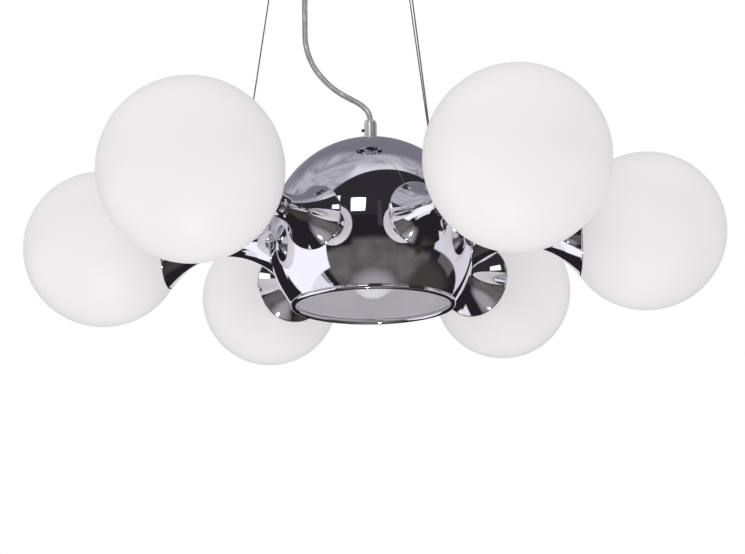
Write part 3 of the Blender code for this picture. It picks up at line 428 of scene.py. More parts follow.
canopy_place = (Matrix.Translation((CANOPY_SHIFT, 0.0, 0.0))
                @ Matrix.Rotation(CANOPY_TURN, 4, "Z"))
canopy_inner = CANOPY_RADIUS - CANOPY_WALL
floor_inside = -CANOPY_HEIGHT + CANOPY_WALL
cover_outline = [(0.0, floor_inside)]
cover_outline += arc((canopy_inner - CANOPY_FILLET, floor_inside + CANOPY_FILLET),
                     CANOPY_FILLET, -90.0, 0.0, 6)
cover_outline += [(canopy_inner, -CANOPY_GAP), (CANOPY_RADIUS, -CANOPY_GAP)]
cover_outline += arc((CANOPY_RADIUS - CANOPY_FILLET, -CANOPY_HEIGHT + CANOPY_FILLET),
                     CANOPY_FILLET, 0.0, -90.0, 8)
cover_outline.append((0.0, -CANOPY_HEIGHT))
cover = lathe("canopy_shell", cover_outline, 160, chrome, "hanging_frame", canopy_place)
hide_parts("canopy_cover")

# Canopy screws, rope grippers and cable gland. Small parts turned from brass bar and chromed:
# knurled heads on the screws, a sprung plunger in each gripper that frees its rope.
SCREW_DEPTH = 0.011
SCREW_HEAD_RADIUS = 0.004
SCREW_HEAD_LENGTH = 0.003
SCREW_RADIUS = 0.0019
SCREW_LENGTH = 0.0065
SCREW_FACE_SHARE = 0.86          # of the head's radius, inside its chamfer
SCREW_FOOT_SHARE = 0.9
KNURL_SHARES = (0.15, 0.85)      # the knurled part of the head's length
KNURL_TEETH = 24
KNURL_DEPTH = 0.07               # as a share of the radius
GRIPPER_RADIUS = 0.006
GRIPPER_LENGTH = 0.020
GRIPPER_TAPER = 0.0015
GROOVE = (0.0070, 0.0086)        # a turned groove round the gripper, below its top
GROOVE_DEPTH = 0.0005
EDGE = 0.0004                    # chamfers on turned edges
STUD_RADIUS = 0.004
STUD_LENGTH = 0.009
ROPE_HOLE_RADIUS = 0.0013
PLUNGER_RADIUS = 0.003
PLUNGER_NOSE = 0.005
PLUNGER_LENGTH = 0.013
PLUNGER_EDGE = 0.0008
PLUNGER_ROOM = 0.0033            # for its travel, above it
FIT = 0.0003                     # clearance of what slides or passes through
GLAND_RADIUS = 0.0085
GLAND_LENGTH = 0.026
GLAND_FLANGE = GLAND_LENGTH / 5.0
GLAND_TIP_RADIUS = 0.0046
GLAND_EDGE = 0.0006
GLAND_STUD = (0.005, 0.008)      # radius and length


def knurl(low, high, teeth, depth):
    """A wobble that cuts straight knurling into an outline between two heights."""
    return lambda height, turn: 1.0 - depth * (0.5 - 0.5 * math.cos(teeth * turn)) \
        if low <= height <= high else 1.0


for n, turn in enumerate((math.pi / 2.0, -math.pi / 2.0)):
    out = Vector((math.cos(turn), math.sin(turn), 0.0))
    place = (canopy_place
             @ Matrix.Translation(Vector((0.0, 0.0, -SCREW_DEPTH))
                                  + out * (CANOPY_RADIUS + CANOPY_GAP))
             @ Matrix.Rotation(turn, 4, "Z") @ Matrix.Rotation(math.pi / 2.0, 4, "Y"))
    low, high = [SCREW_HEAD_LENGTH * share for share in KNURL_SHARES]
    outline = [(0.0, SCREW_HEAD_LENGTH),
               (SCREW_HEAD_RADIUS * SCREW_FACE_SHARE, SCREW_HEAD_LENGTH),
               (SCREW_HEAD_RADIUS, high), (SCREW_HEAD_RADIUS, low),
               (SCREW_HEAD_RADIUS * SCREW_FOOT_SHARE, 0.0), (SCREW_RADIUS, 0.0),
               (SCREW_RADIUS, -SCREW_LENGTH), (0.0, -SCREW_LENGTH)]
    screw = lathe(f"knurled_screw_{n + 1}", outline, 144, chrome, "hanging_frame", place,
                  wobble=knurl(low, high, KNURL_TEETH, KNURL_DEPTH))
    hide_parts(f"canopy_screw_{n + 1}")

# Nickel plate on brass: a warm, slightly yellow mirror with paler and darker patches
nickelled_brass = surface("nickel_plated_brass", ("ShaderNodeTexNoise", 8.33, {"Detail": 3.0}),
                          ("BFB49A", "D8D0BC"), Metallic=1.0, Roughness=0.22)

for n, arm in enumerate(ROPE_ARMS):
    turn = arm * ARM_STEP + CANOPY_TURN
    spot = Vector((CANOPY_SHIFT + GRIPPER_CIRCLE * math.cos(turn),
                   GRIPPER_CIRCLE * math.sin(turn), GRIPPER_TOP - DROP))
    place = Matrix.Translation(spot)
    bore = PLUNGER_RADIUS + FIT
    seat = -GRIPPER_LENGTH + PLUNGER_LENGTH - PLUNGER_NOSE + PLUNGER_ROOM
    outline = [(STUD_RADIUS, STUD_LENGTH), (STUD_RADIUS, 0.0), (GRIPPER_RADIUS - EDGE, 0.0),
               (GRIPPER_RADIUS, -EDGE), (GRIPPER_RADIUS, -GROOVE[0]),
               (GRIPPER_RADIUS - GROOVE_DEPTH, -GROOVE[0] - EDGE),
               (GRIPPER_RADIUS - GROOVE_DEPTH, -GROOVE[1] + EDGE),
               (GRIPPER_RADIUS, -GROOVE[1]), (GRIPPER_RADIUS, -GRIPPER_LENGTH + GRIPPER_TAPER),
               (GRIPPER_RADIUS - GRIPPER_TAPER, -GRIPPER_LENGTH), (bore, -GRIPPER_LENGTH),
               (bore, seat), (ROPE_HOLE_RADIUS, seat), (ROPE_HOLE_RADIUS, STUD_LENGTH)]
    gripper = lathe(f"gripper_body_{n + 1}", outline, 96, chrome, "hanging_frame", place)
    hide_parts(f"rope_gripper_{n + 1}")
    low = -GRIPPER_LENGTH - PLUNGER_NOSE
    outline = [(PLUNGER_RADIUS, low + PLUNGER_LENGTH), (PLUNGER_RADIUS, low + PLUNGER_EDGE),
               *arc((PLUNGER_RADIUS - PLUNGER_EDGE, low + PLUNGER_EDGE), PLUNGER_EDGE, 0.0,
                    -90.0, 4),
               (ROPE_RADIUS + FIT, low), (ROPE_RADIUS + FIT, low + PLUNGER_LENGTH)]
    plunger = lathe(f"plunger_{n + 1}", outline, 64, nickelled_brass,
                    f"gripper_plunger_{n + 1}", place)
    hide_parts(f"gripper_plunger_{n + 1}")

gland_place = Matrix.Translation((CANOPY_SHIFT, 0.0, GRIPPER_TOP - DROP))
cable_bore = CABLE_RADIUS + FIT
gland_outline = [GLAND_STUD, (GLAND_STUD[0], 0.0), (GLAND_RADIUS - EDGE, 0.0),
                 (GLAND_RADIUS, -EDGE), (GLAND_RADIUS, -GLAND_FLANGE),
                 (GLAND_RADIUS - GLAND_EDGE, -GLAND_FLANGE - GLAND_EDGE),
                 (GLAND_TIP_RADIUS + GLAND_EDGE / 2.0, -GLAND_LENGTH + GLAND_EDGE),
                 (GLAND_TIP_RADIUS - GLAND_EDGE / 2.0, -GLAND_LENGTH),
                 (cable_bore, -GLAND_LENGTH), (cable_bore, GLAND_STUD[1])]
gland = lathe("gland_body", gland_outline, 96, chrome, "hanging_frame", gland_place)
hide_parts("cable_gland")

# Cord grip. A barrel turned from brass bar and nickelled, screwed on the stem's end above the
# dome, with a set screw that clamps the cable. Its top is chamfered down to the cable.
GRIP_FOOT = 0.0993               # above the arm plane
GRIP_RADIUS = 0.00615
GRIP_HEIGHT = 0.022
GRIP_SHOULDER = 0.0028
GRIP_NOSE_RADIUS = 0.0049
GRIP_NOSE_EDGE = 0.0005
GRIP_BREAK = 0.0002              # half the softened edge of the shoulder
GRIP_THREAD = (0.0053, 0.0088)   # radius and depth of the hole for the stem
SET_SCREW_HEIGHT = 0.012
SET_SCREW_RADIUS = 0.0015
SET_SCREW_PROUD = 0.0025
SET_SCREW_EDGE = 0.0002
SET_SCREW_CORE = 0.0003          # the thread's depth
SET_SCREW_NECK = 0.0006          # between the grip and the knurled head
SET_SCREW_SOCKET = (0.0007, 0.0010)         # radius and depth of the key's hole
SET_SCREW_TEETH = 16
SET_SCREW_KNURL = 0.08           # as a share of the radius

# Satin nickel plate, brushed while it turns on the lathe: pale and soft, with rings. The
# brush's lines are drawn coarser than the real ones, to show.
satin_nickel = surface("satin_nickel_brushed", ("ShaderNodeTexNoise", 0.385, {"Detail": 2.0}),
                       ("E6E3E0", "F2F0EF"), (0.24, 0.34), rings=True, Metallic=0.75)

grip_place = Matrix.Translation((0.0, 0.0, GRIP_FOOT - DROP))
shoulder = GRIP_HEIGHT - GRIP_SHOULDER
grip_outline = [(GRIP_NOSE_RADIUS - GRIP_NOSE_EDGE, GRIP_HEIGHT),
                (GRIP_NOSE_RADIUS, GRIP_HEIGHT - GRIP_NOSE_EDGE),
                (GRIP_RADIUS - GRIP_BREAK, shoulder + GRIP_BREAK),
                (GRIP_RADIUS, shoulder - GRIP_BREAK), (GRIP_RADIUS, EDGE),
                (GRIP_RADIUS - EDGE, 0.0), (GRIP_THREAD[0], 0.0), GRIP_THREAD,
                (cable_bore, GRIP_THREAD[1]), (cable_bore, GRIP_HEIGHT)]
grip = lathe("grip_barrel", grip_outline, 128, satin_nickel, "hanging_frame", grip_place)
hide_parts("cord_grip")

# Blackened steel of the set screw: dark, satin, slightly uneven
black_steel = surface("blackened_steel", ("ShaderNodeTexNoise", 2.5, {}), ("3A3A3D", "6A6A6E"),
                      Metallic=0.9, Roughness=0.35)

screw_place = (Matrix.Translation((0.0, 0.0, GRIP_FOOT + SET_SCREW_HEIGHT - DROP))
               @ Matrix.Rotation(-math.pi / 2.0, 4, "Y"))
screw_end = GRIP_RADIUS + SET_SCREW_PROUD
socket_floor = screw_end - SET_SCREW_SOCKET[1]
thread_core = SET_SCREW_RADIUS - SET_SCREW_CORE
set_outline = [(0.0, socket_floor), (SET_SCREW_SOCKET[0], socket_floor),
               (SET_SCREW_SOCKET[0], screw_end), (SET_SCREW_RADIUS - SET_SCREW_EDGE, screw_end),
               (SET_SCREW_RADIUS, screw_end - SET_SCREW_EDGE),
               (SET_SCREW_RADIUS, GRIP_RADIUS + SET_SCREW_NECK), (thread_core, GRIP_RADIUS),
               (thread_core, cable_bore), (0.0, cable_bore)]
set_screw = lathe("set_screw", set_outline, 96, black_steel, "hanging_frame", screw_place,
                  wobble=knurl(GRIP_RADIUS + SET_SCREW_NECK, screw_end, SET_SCREW_TEETH,
                               SET_SCREW_KNURL))
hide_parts("grip_screw")

# Dome. Spun from brass sheet, its lower edge rolled inwards to a bead, polished and chromed.
# The stem clamps it in the middle, and the arms are drawn against its wall.
DOME_RADIUS = 0.099
DOME_WALL = 0.0012
DOME_MOUTH_DEPTH = 0.0635
DOME_ENDS = (-38.5, -38.2)       # where the outer and inner skins meet the bead, in degrees
BEAD_CIRCLE = 0.07535
BEAD_RADIUS = 0.0026
BEAD_SPAN = (36.0, -262.0)       # how far round the bead is rolled
STEM_HOLE = 0.0053

lamp_place = Matrix.Translation((0.0, 0.0, -DROP))
dome_top = math.degrees(math.acos(STEM_HOLE / DOME_RADIUS))
dome_outline = arc((0.0, 0.0), DOME_RADIUS, dome_top, DOME_ENDS[0], 64)
dome_outline += arc((BEAD_CIRCLE, -DOME_MOUTH_DEPTH), BEAD_RADIUS, *BEAD_SPAN, 24)
dome_outline += arc((0.0, 0.0), DOME_RADIUS - DOME_WALL, DOME_ENDS[1], dome_top, 48)
dome = lathe("dome_skin", dome_outline, 240, chrome, "hanging_frame", lamp_place, crease=50.0)
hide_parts("dome_shell")
dress(zinc_plate, "center_stem")

# Reflector. A bowl spun from aluminium and satin anodised, pressed up inside the dome until
# its edge sits on the rolled bead. Spinning leaves fine rings on it.
REFLECTOR_WIDEST = 0.080
REFLECTOR_CROWN = 0.035
REFLECTOR_WALL = 0.001
REFLECTOR_EDGE = (0.0741, -0.0609)
BOWL_SHARES = (                  # of the widest radius, and of the height above the edge
    (0.470, 0.990), (0.660, 0.925), (0.830, 0.790), (0.940, 0.620), (0.990, 0.450),
    (1.000, 0.290), (0.975, 0.130))
BOWL_SPACING = 0.002

# Satin anodised aluminium: pale and soft. Its spun rings draw each highlight out across them.
satin_aluminium = surface("satin_anodised_aluminium",
                          ("ShaderNodeTexNoise", 1.11, {"Detail": 3.0}), ("EAE9EB", "F4F3F5"),
                          (0.24, 0.40), (0.12, 0.00005), rings=True, Metallic=0.25,
                          Anisotropic=0.8)
tree = satin_aluminium.node_tree
grooves = add_node(tree, "ShaderNodeTangent", {"direction_type": "RADIAL", "axis": "Z"})
tree.links.new(grooves.outputs[0], tree.nodes["Principled BSDF"].inputs["Tangent"])

bowl_height = REFLECTOR_CROWN - REFLECTOR_EDGE[1]
bowl_route = [(STEM_HOLE, 0.0, REFLECTOR_CROWN)]
bowl_route += [(out * REFLECTOR_WIDEST, 0.0, REFLECTOR_EDGE[1] + up * bowl_height)
               for out, up in BOWL_SHARES]
bowl_route.append((REFLECTOR_EDGE[0], 0.0, REFLECTOR_EDGE[1]))
bowl = smooth_path(bowl_route, BOWL_SPACING)
inner = []
for before, point, after in zip(bowl[:1] + bowl, bowl, bowl[1:] + bowl[-1:]):
    slope = (after - before).normalized()
    inner.append((max(point.x + slope.z * REFLECTOR_WALL, STEM_HOLE),
                  point.z - slope.x * REFLECTOR_WALL))
outline = [(point.x, point.z) for point in bowl] + inner[::-1]
reflector = lathe("reflector_bowl", outline, 200, satin_aluminium, "hanging_frame", lamp_place)
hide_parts("reflector")

# Lampholder in the middle. Moulded black phenolic, ribbed for grip, screwed on the stem. It
# holds the reflector up in the dome.
HOLDER_RADIUS = 0.0135
HOLDER_TOP = 0.0337
HOLDER_MOUTH = -0.003
HOLDER_THREAD_END = 0.0254       # where the stem's thread ends in it
HOLDER_FACE_RADIUS = 0.0098
HOLDER_SHOULDER = 0.003
HOLDER_EDGE = 0.0006
SOCKET_BORE = 0.0077
SOCKET_TOP = 0.0210
RIB_COUNT = 32
RIB_DEPTH = 0.03                 # as a share of the radius

# Moulded phenolic: deep black with an even, half-matt skin
black_phenolic = surface("moulded_black_phenolic", ("ShaderNodeTexNoise", 3.33, {"Detail": 2.0}),
                         roughness=(0.32, 0.48), IOR=1.55, Base_Color=linear("1B1B1C"))

holder_outline = [(0.0, HOLDER_THREAD_END), (STEM_HOLE, HOLDER_THREAD_END),
                  (STEM_HOLE, HOLDER_TOP), (HOLDER_FACE_RADIUS, HOLDER_TOP),
                  *arc((HOLDER_RADIUS - HOLDER_SHOULDER, HOLDER_TOP - HOLDER_SHOULDER),
                       HOLDER_SHOULDER, 80.0, 0.0, 5),
                  (HOLDER_RADIUS, 0.0), (HOLDER_RADIUS, HOLDER_MOUTH + HOLDER_EDGE),
                  (HOLDER_RADIUS - HOLDER_EDGE, HOLDER_MOUTH), (SOCKET_BORE, HOLDER_MOUTH),
                  (SOCKET_BORE, SOCKET_TOP), (0.0, SOCKET_TOP)]
holder = lathe("phenolic_holder", holder_outline, 192, black_phenolic, "hanging_frame",
               lamp_place, wobble=knurl(HOLDER_MOUTH + HOLDER_EDGE, 0.0, RIB_COUNT, RIB_DEPTH))
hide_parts("center_lampholder")

# Bulb in the middle. A blown glass ball frosted inside, on a nickelled screw cap. It screws
# up into the lampholder, in the reflector's mouth.
CAP_RADIUS = 0.0069
CAP_FOOT = -0.0033
CAP_TOP = 0.0177
CAP_SEAM = 0.0006                # how far the glass reaches up into the cap
CAP_LIP = (0.0072, 0.0012)       # the glass's radius and depth just below the cap
CONTACT = (0.0025, 0.003)        # radius and height of the contact on the cap
CONTACT_FOOT = 0.005
THREAD_PITCH = 0.0028
THREAD_STEP = 0.0004             # between the points that draw the thread
THREAD_POINTS = 44
THREAD_SHARE = 0.08              # of the radius, between crest and middle
BULB_RADIUS = 0.023
BULB_CENTRE = -0.034

# Glass frosted inside: white under a clear, glossy skin. The frost is drawn coarser, to show.
frosted = surface("frosted_bulb_glass", ("ShaderNodeTexNoise", 1.43, {"Detail": 2.0}),
                  ("DCDBDA", "E8E7E6"), IOR=1.5, Roughness=0.22)

bulb_outline = [(0.0, CAP_FOOT + CAP_SEAM), (CAP_RADIUS - FIT, CAP_FOOT + CAP_SEAM),
                (CAP_LIP[0], CAP_FOOT - CAP_LIP[1]),
                *arc((0.0, BULB_CENTRE), BULB_RADIUS, 55.0, -89.0, 48),
                (0.0, BULB_CENTRE - BULB_RADIUS)]
bulb = lathe("bulb_glass", bulb_outline, 96, frosted, "center_bulb", lamp_place)
thread = []
for down in [THREAD_STEP * k for k in range(THREAD_POINTS)]:
    wave = math.cos(2.0 * math.pi * down / THREAD_PITCH)
    thread.append((CAP_RADIUS * (1.0 - THREAD_SHARE + THREAD_SHARE * wave),
                   CAP_TOP - CONTACT[1] - down))
cap_outline = [(0.0, CAP_TOP + CONTACT[1]), (CONTACT[0], CAP_TOP + CONTACT[1]),
               (CONTACT_FOOT, CAP_TOP), *thread, (CAP_RADIUS, CAP_FOOT), (0.0, CAP_FOOT)]
cap = lathe("bulb_cap", cap_outline, 64, nickelled_brass, "center_bulb", lamp_place)
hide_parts("center_bulb")

# Arms. Each is a trumpet spun from brass tube with a flare at both ends, polished and
# chromed. A threaded stem inside it draws it against the dome.
WAIST_RADIUS = 0.0114
WAIST_DISTANCE = 0.142
DOME_FLARE = (0.0946, 0.030)     # distance from the dome's axis, and radius
GLOBE_FLARE = (0.1960, 0.0405)
FLARE_POWER = 2.15
ARM_WALL = 0.0012
GLOBE_DISTANCE = 0.2594
GLOBE_RADIUS = 0.075


def trumpet_tree():
    """Geometry Nodes that give a line along the arm the trumpet's radius at each point."""
    tree, given = open_tree("trumpet", Line="Geometry", Waist="Float", Waist_share="Float",
                            Start_radius="Float", End_radius="Float", Power="Float",
                            Spacing="Float", Around="Int", Material="Material")
    fine = add_node(tree, "GeometryNodeResampleCurve", {"mode": "LENGTH"},
                    {"Curve": given["Line"], "Length": given["Spacing"]})
    at = add_node(tree, "GeometryNodeSplineParameter")
    past = add_node(tree, "ShaderNodeMath", {"operation": "SUBTRACT"},
                    {0: at.outputs["Factor"], 1: given["Waist share"]})
    beyond = add_node(tree, "ShaderNodeMath", {"operation": "GREATER_THAN", 1: 0.0},
                      {0: past.outputs[0]})
    rest = add_node(tree, "ShaderNodeMath", {"operation": "SUBTRACT", 0: 1.0},
                    {1: given["Waist share"]})
    span = add_node(tree, "ShaderNodeMix", {"data_type": "FLOAT"},
                    {0: beyond.outputs[0], 2: given["Waist share"], 3: rest.outputs[0]})
    rim = add_node(tree, "ShaderNodeMix", {"data_type": "FLOAT"},
                   {0: beyond.outputs[0], 2: given["Start radius"], 3: given["End radius"]})
    away = add_node(tree, "ShaderNodeMath", {"operation": "ABSOLUTE"}, {0: past.outputs[0]})
    share = add_node(tree, "ShaderNodeMath", {"operation": "DIVIDE"},
                     {0: away.outputs[0], 1: span.outputs[0]})
    raised = add_node(tree, "ShaderNodeMath", {"operation": "POWER"},
                      {0: share.outputs[0], 1: given["Power"]})
    growth = add_node(tree, "ShaderNodeMath", {"operation": "SUBTRACT"},
                      {0: rim.outputs[0], 1: given["Waist"]})
    radius = add_node(tree, "ShaderNodeMath", {"operation": "MULTIPLY_ADD"},
                      {0: growth.outputs[0], 1: raised.outputs[0], 2: given["Waist"]})
    section = add_node(tree, "GeometryNodeCurvePrimitiveCircle", {"Radius": 1.0},
                       {"Resolution": given["Around"]})
    swept = add_node(tree, "GeometryNodeCurveToMesh", None,
                     {"Curve": fine.outputs[0], "Profile Curve": section.outputs["Curve"],
                      "Scale": radius.outputs[0]})
    return close_tree(tree, swept.outputs[0], given["Material"])


trumpet = trumpet_tree()
arm_run = GLOBE_FLARE[0] - DOME_FLARE[0]
for k in range(6):
    turn = k * ARM_STEP
    along = Vector((math.cos(turn), math.sin(turn), 0.0))
    level = Vector((0.0, 0.0, -DROP))
    arm = grown(f"arm_trumpet_{k + 1}", [level + along * DOME_FLARE[0],
                                         level + along * GLOBE_FLARE[0]],
                trumpet, "hanging_frame", Waist=WAIST_RADIUS,
                Waist_share=(WAIST_DISTANCE - DOME_FLARE[0]) / arm_run,
                Start_radius=DOME_FLARE[1], End_radius=GLOBE_FLARE[1], Power=FLARE_POWER,
                Spacing=0.0011, Around=128, Material=chrome)
    wall = arm.modifiers.new("wall", "SOLIDIFY")
    wall.thickness = ARM_WALL
    wall.offset = -1.0
    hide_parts(f"arm_{k + 1}")

# Inside the arms and globes. A zinc-plated stem and gallery in each arm, a ceramic
# lampholder on it, a silicone seal and a capsule bulb. The opal glass hides them.

# Fired steatite, unglazed: chalky cream with fine specks
steatite = surface("steatite_unglazed", ("ShaderNodeTexNoise", 2.0, {"Detail": 4.0}),
                   ("E2DED3", "F0EDE6"), IOR=1.5, Roughness=0.6)

# Moulded silicone: white and soft, dulled by dust in patches
silicone = surface("moulded_white_silicone", ("ShaderNodeTexNoise", 5.0, {}),
                   roughness=(0.5, 0.7), IOR=1.41, Base_Color=linear("E4E4E0"))

# Drawn quartz tube: clear and glossy, with a faint ripple from the drawing
quartz = surface("quartz_capsule_glass", ("ShaderNodeTexNoise", 11.1, {}),
                 roughness=(0.02, 0.08), IOR=1.46, Transmission_Weight=0.9,
                 Base_Color=linear("F4F6F7"))

for k in range(1, 7):
    dress(zinc_plate, f"arm_stem_{k}")
    dress(steatite, f"lampholder_{k}")
    dress(silicone, f"globe_seal_{k}")
    dress(quartz, f"bulb_{k}")

# Globes. Blown opal glass, cased in clear and acid-etched to a satin skin, with a moulded
# neck that screws into the gallery inside the arm's flare.
NECK_RADIUS = 0.018
GLASS_WALL = 0.0025
NECK_END = 0.1783                # distance from the dome's axis

# Opal glass, etched: an even milky white with slow clouds, as soft as eggshell. The etching's
# grain, a fraction of a millimetre, is drawn as coarse as it needs to show.
ETCH_WIDTH = 0.667               # in millimetres
opal = surface("opal_glass_etched", ("ShaderNodeTexNoise", 111.0, {"Detail": 2.0}),
               ("F1EEED", "F7F5F4"), IOR=1.5)
tree = opal.node_tree
where = add_node(tree, "ShaderNodeTexCoord")
etch = add_node(tree, "ShaderNodeTexNoise", {"Scale": 1000.0 / ETCH_WIDTH, "Detail": 1.0},
                {"Vector": where.outputs["Object"]})
etch_rough = add_node(tree, "ShaderNodeMapRange", {"To Min": 0.42, "To Max": 0.55},
                      {"Value": etch.outputs[0]})
tree.links.new(etch_rough.outputs[0], tree.nodes["Principled BSDF"].inputs["Roughness"])

neck_angle = -math.degrees(math.acos(NECK_RADIUS / GLOBE_RADIUS))
bore = NECK_RADIUS - GLASS_WALL
bore_angle = -math.degrees(math.acos(bore / (GLOBE_RADIUS - GLASS_WALL)))
globe_outline = [(0.0, GLOBE_DISTANCE + GLOBE_RADIUS)]
globe_outline += arc((0.0, GLOBE_DISTANCE), GLOBE_RADIUS, 88.0, neck_angle, 60)
globe_outline += [(NECK_RADIUS, NECK_END), (bore, NECK_END)]
globe_outline += arc((0.0, GLOBE_DISTANCE), GLOBE_RADIUS - GLASS_WALL, bore_angle, 88.0, 36)
globe_outline.append((0.0, GLOBE_DISTANCE + GLOBE_RADIUS - GLASS_WALL))
for k in range(6):
    place = (lamp_place @ Matrix.Rotation(k * ARM_STEP, 4, "Z")
             @ Matrix.Rotation(math.pi / 2.0, 4, "Y"))
    globe = lathe(f"globe_glass_{k + 1}", globe_outline, 128, opal, f"globe_{k + 1}", place)
    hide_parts(f"globe_{k + 1}")

# Studio. The world is white. Round the lamp stands a tent of dark cloth that only mirrors
# see: its roof is pale and creased, its floor grey, and it has white gaps at the sides and two
# softboxes. A third stands beside the camera, and a small lamp below the object.
SOFTBOX_AWAY = 2.4
SOFTBOX_TURN = (-10.9, 23.3)     # degrees to the right of the camera's side, and upwards
SOFTBOX_SIZE = 0.60
SOFTBOX_POWER = 3.6
LOW_LAMP_PLACE = (-0.057, -0.294, -0.813)   # from the chandelier's middle
LOW_LAMP_SIZE = 0.06
LOW_LAMP_POWER = 1.1
AMBIENT_LEVEL = 0.95
TENT_RADIUS = 8.0
TENT_LEVEL = 1.5
FLOOR_DEPTH = -2.45
FLOOR_REACH = 30.0

world = bpy.data.worlds.new("studio")
bpy.context.scene.world = world
world.use_nodes = True
tree = world.node_tree
tree.nodes.clear()
rays = add_node(tree, "ShaderNodeLightPath").outputs
ambient = add_node(tree, "ShaderNodeBackground", {"Color": linear("FBFAFC"),
                                                   "Strength": AMBIENT_LEVEL})
white = add_node(tree, "ShaderNodeBackground", {"Color": linear("FFFFFF"), "Strength": 1.0})
seen = add_node(tree, "ShaderNodeMath", {"operation": "MAXIMUM"},
                {0: rays["Is Camera Ray"], 1: rays["Is Transmission Ray"]})
seen_or_mirrored = add_node(tree, "ShaderNodeMath", {"operation": "MAXIMUM"},
                            {0: seen.outputs[0], 1: rays["Is Glossy Ray"]})
surround = add_node(tree, "ShaderNodeMixShader", None,
                    {0: seen_or_mirrored.outputs[0], 1: ambient.outputs[0],
                     2: white.outputs[0]})
add_node(tree, "ShaderNodeOutputWorld", None, {"Surface": surround.outputs[0]})

# Tent cloth: what the chrome mirrors, painted on it by direction round and up from the lamp
tent_cloth = surface("dark_tent_cloth")
tree = tent_cloth.node_tree
tree.nodes.remove(tree.nodes["Principled BSDF"])
where = add_node(tree, "ShaderNodeTexCoord")
facing = add_node(tree, "ShaderNodeVectorMath", {"operation": "NORMALIZE"},
                  {0: where.outputs["Object"]}).outputs[0]
spread = add_node(tree, "ShaderNodeSeparateXYZ", None, {"Vector": facing})
ahead = add_node(tree, "ShaderNodeMath", {"operation": "MULTIPLY", 1: -1.0},
                 {0: spread.outputs["Y"]})
around = add_node(tree, "ShaderNodeMath", {"operation": "ARCTAN2"},
                  {0: spread.outputs["X"], 1: ahead.outputs[0]}).outputs[0]
upward = add_node(tree, "ShaderNodeMath", {"operation": "ARCSINE"},
                  {0: spread.outputs["Z"]}).outputs[0]
cloud = add_node(tree, "ShaderNodeTexNoise", {"Scale": 3.2, "Detail": 3.0},
                 {"Vector": facing}).outputs[0]
flattened = add_node(tree, "ShaderNodeMapping", {"Scale": (0.8, 1.6, 4.5)}, {"Vector": facing})
creases = add_node(tree, "ShaderNodeTexNoise", {"Scale": 2.0, "Detail": 4.0, "Distortion": 1.2},
                   {"Vector": flattened.outputs[0]}).outputs[0]


def blend(amount, below, colour):
    """Mix a colour over another by an amount; each is a hex code or a socket."""
    over = add_node(tree, "ShaderNodeMix", {"data_type": "RGBA"}, {0: amount})
    for socket, value in ((over.inputs[6], below), (over.inputs[7], colour)):
        if isinstance(value, str):
            socket.default_value = linear(value)
        else:
            tree.links.new(value, socket)
    return over.outputs[2]


def screen(below, colour, direction, low, high):
    """Blend a colour over another where the view turns towards a direction."""
    closeness = add_node(tree, "ShaderNodeVectorMath",
                         {"operation": "DOT_PRODUCT", 1: Vector(direction).normalized()},
                         {0: facing})
    edge = add_node(tree, "ShaderNodeMapRange", {"interpolation_type": "SMOOTHSTEP",
                                                 "From Min": low, "From Max": high},
                    {"Value": closeness.outputs["Value"]})
    return blend(edge.outputs[0], below, colour)


def panel(below, colour, span, height, soft=2.0, slant=0.0, ragged=0.0):
    """Blend a colour over another inside spans round and up, in degrees, softly edged."""
    torn = add_node(tree, "ShaderNodeMath", {"operation": "MULTIPLY_ADD",
                                             1: math.radians(ragged)}, {0: cloud, 2: upward})
    leaning = add_node(tree, "ShaderNodeMath", {"operation": "MULTIPLY_ADD", 1: -slant},
                       {0: upward, 2: around})
    inside = []
    for angle, (first, last) in ((leaning.outputs[0], span), (torn.outputs[0], height)):
        off = add_node(tree, "ShaderNodeMath",
                       {"operation": "SUBTRACT", 1: math.radians((first + last) / 2.0)},
                       {0: angle})
        away = add_node(tree, "ShaderNodeMath", {"operation": "ABSOLUTE"}, {0: off.outputs[0]})
        half = (last - first) / 2.0
        inside.append(add_node(tree, "ShaderNodeMapRange",
                               {"interpolation_type": "SMOOTHSTEP",
                                "From Min": math.radians(half - soft / 2.0),
                                "From Max": math.radians(half + soft / 2.0),
                                "To Min": 1.0, "To Max": 0.0},
                               {"Value": away.outputs[0]}))
    both = add_node(tree, "ShaderNodeMath", {"operation": "MULTIPLY"},
                    {0: inside[0].outputs[0], 1: inside[1].outputs[0]})
    return blend(both.outputs[0], below, colour)


# The roof, creased and darker behind, then its edge against the dark cloth
cloudy = add_node(tree, "ShaderNodeMapRange", {"From Min": 0.35, "From Max": 0.65},
                  {"Value": cloud}).outputs[0]
creased = add_node(tree, "ShaderNodeMapRange", {"From Min": 0.36, "From Max": 0.56},
                   {"Value": creases}).outputs[0]
grey_floor = blend(cloudy, "4B4948", "5F5D5C")
roof = blend(creased, "817F88", "A3A1A9")
roof = panel(roof, "6A6871", (112.0, 200.0), (20.0, 100.0), soft=36.0)
roof = panel(roof, "6A6871", (-200.0, -128.0), (24.0, 100.0), soft=36.0)
roof = panel(roof, "C4C2C9", (-32.0, 70.0), (50.0, 72.0), soft=16.0)
studio = screen("29272A", roof, (-0.372, 0.804, 0.4625), 0.055, 0.072)

# The cloth's lower part and a pole before it, the floor, what stands on the floor, and a painted
# glow round the low lamp
studio = panel(studio, "1F1D20", (-181.0, 181.0), (-100.0, 12.0))
studio = panel(studio, "38373B", (9.5, 14.5), (0.0, 27.0))
studio = panel(studio, grey_floor, (-58.0, 75.0), (-66.0, -15.0), soft=7.0, ragged=9.0)
studio = panel(studio, grey_floor, (-18.0, 30.0), (-30.0, -10.0), soft=9.0, ragged=6.0)
studio = panel(studio, "3A3735", (64.0, 125.0), (-60.0, -24.0), soft=18.0)
# Painted glow: a pale spot round the low lamp's direction, a painted halo for the blur round its
# highlight in the chrome
studio = screen(studio, "8C8A8D", (0.035, -0.39, -0.92), 0.90, 1.0)
studio = panel(studio, "33261F", (54.0, 62.0), (-24.0, -15.0), soft=7.0)

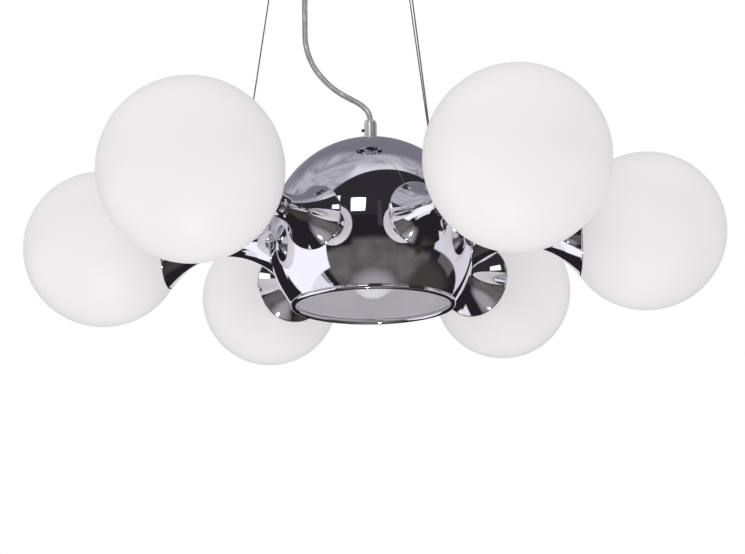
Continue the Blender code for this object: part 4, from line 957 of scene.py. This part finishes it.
# The white gap on the left with its frame, the two softboxes and the gap on the right
studio = panel(studio, "CFCDD5", (-114.0, -64.0), (-50.0, -30.0), soft=3.0, slant=0.1)
studio = panel(studio, "77757B", (-73.0, -69.0), (-48.0, -35.0), soft=3.0)
studio = panel(studio, "E2E0E7", (-122.0, -46.0), (-35.0, 2.0), soft=1.5, slant=0.25)
studio = panel(studio, "1F1D20", (-190.0, -120.0), (-60.0, -10.0), soft=3.0)
studio = panel(studio, "FFFFFF", (-46.0, -33.0), (21.0, 34.0), soft=1.0)
studio = panel(studio, "FFFFFF", (31.0, 44.0), (24.0, 37.0), soft=1.0)
studio = panel(studio, "C0BEC6", (77.0, 146.0), (-13.0, 7.0))
studio = panel(studio, "5A5458", (88.0, 116.0), (-21.0, -13.0))

glow = add_node(tree, "ShaderNodeEmission", {"Strength": TENT_LEVEL}, {"Color": studio})
tree.links.new(glow.outputs[0], tree.nodes["Material Output"].inputs["Surface"])
tent_mesh = bpy.data.meshes.new("tent")
ball = bmesh.new()
bmesh.ops.create_uvsphere(ball, u_segments=48, v_segments=24, radius=TENT_RADIUS)
ball.to_mesh(tent_mesh)
ball.free()
tent_mesh.materials.append(tent_cloth)
tent = bpy.data.objects.new("tent", tent_mesh)
tent.location = (0.0, 0.0, -DROP)
tent.visible_camera = False
tent.visible_diffuse = False
tent.visible_transmission = False
tent.visible_volume_scatter = False
tent.visible_shadow = False
bpy.context.scene.collection.objects.link(tent)

side, up = [math.radians(turn) for turn in SOFTBOX_TURN]
softbox_towards = (math.cos(up) * math.sin(side), -math.cos(up) * math.cos(side), math.sin(up))
for name, shape, size, power, spot in (
        ("softbox", "SQUARE", SOFTBOX_SIZE, SOFTBOX_POWER,
         Vector(softbox_towards) * SOFTBOX_AWAY),
        ("low_lamp", "DISK", LOW_LAMP_SIZE, LOW_LAMP_POWER, Vector(LOW_LAMP_PLACE))):
    lamp_data = bpy.data.lights.new(name, "AREA")
    lamp_data.shape = shape
    lamp_data.size = size
    lamp_data.energy = power
    lamp = bpy.data.objects.new(name, lamp_data)
    lamp.location = spot + Vector((0.0, 0.0, -DROP))
    lamp.rotation_euler = spot.to_track_quat("Z", "Y").to_euler()
    lamp.visible_camera = False
    bpy.context.scene.collection.objects.link(lamp)

# Backdrop paper, laid on the floor: matt and nearly white, with slow clouds
pale_floor = surface("pale_backdrop_paper", ("ShaderNodeTexNoise", 500.0, {}),
                     ("F6F6F6", "FAFAFA"), Roughness=0.8)
floor_mesh = bpy.data.meshes.new("floor")
floor_mesh.from_pydata([(x * FLOOR_REACH, y * FLOOR_REACH, FLOOR_DEPTH)
                        for x, y in ((-1, -1), (1, -1), (1, 1), (-1, 1))], [], [(0, 1, 2, 3)])
floor_mesh.materials.append(pale_floor)
floor = bpy.data.objects.new("floor", floor_mesh)
bpy.context.scene.collection.objects.link(floor)
floor.visible_glossy = False
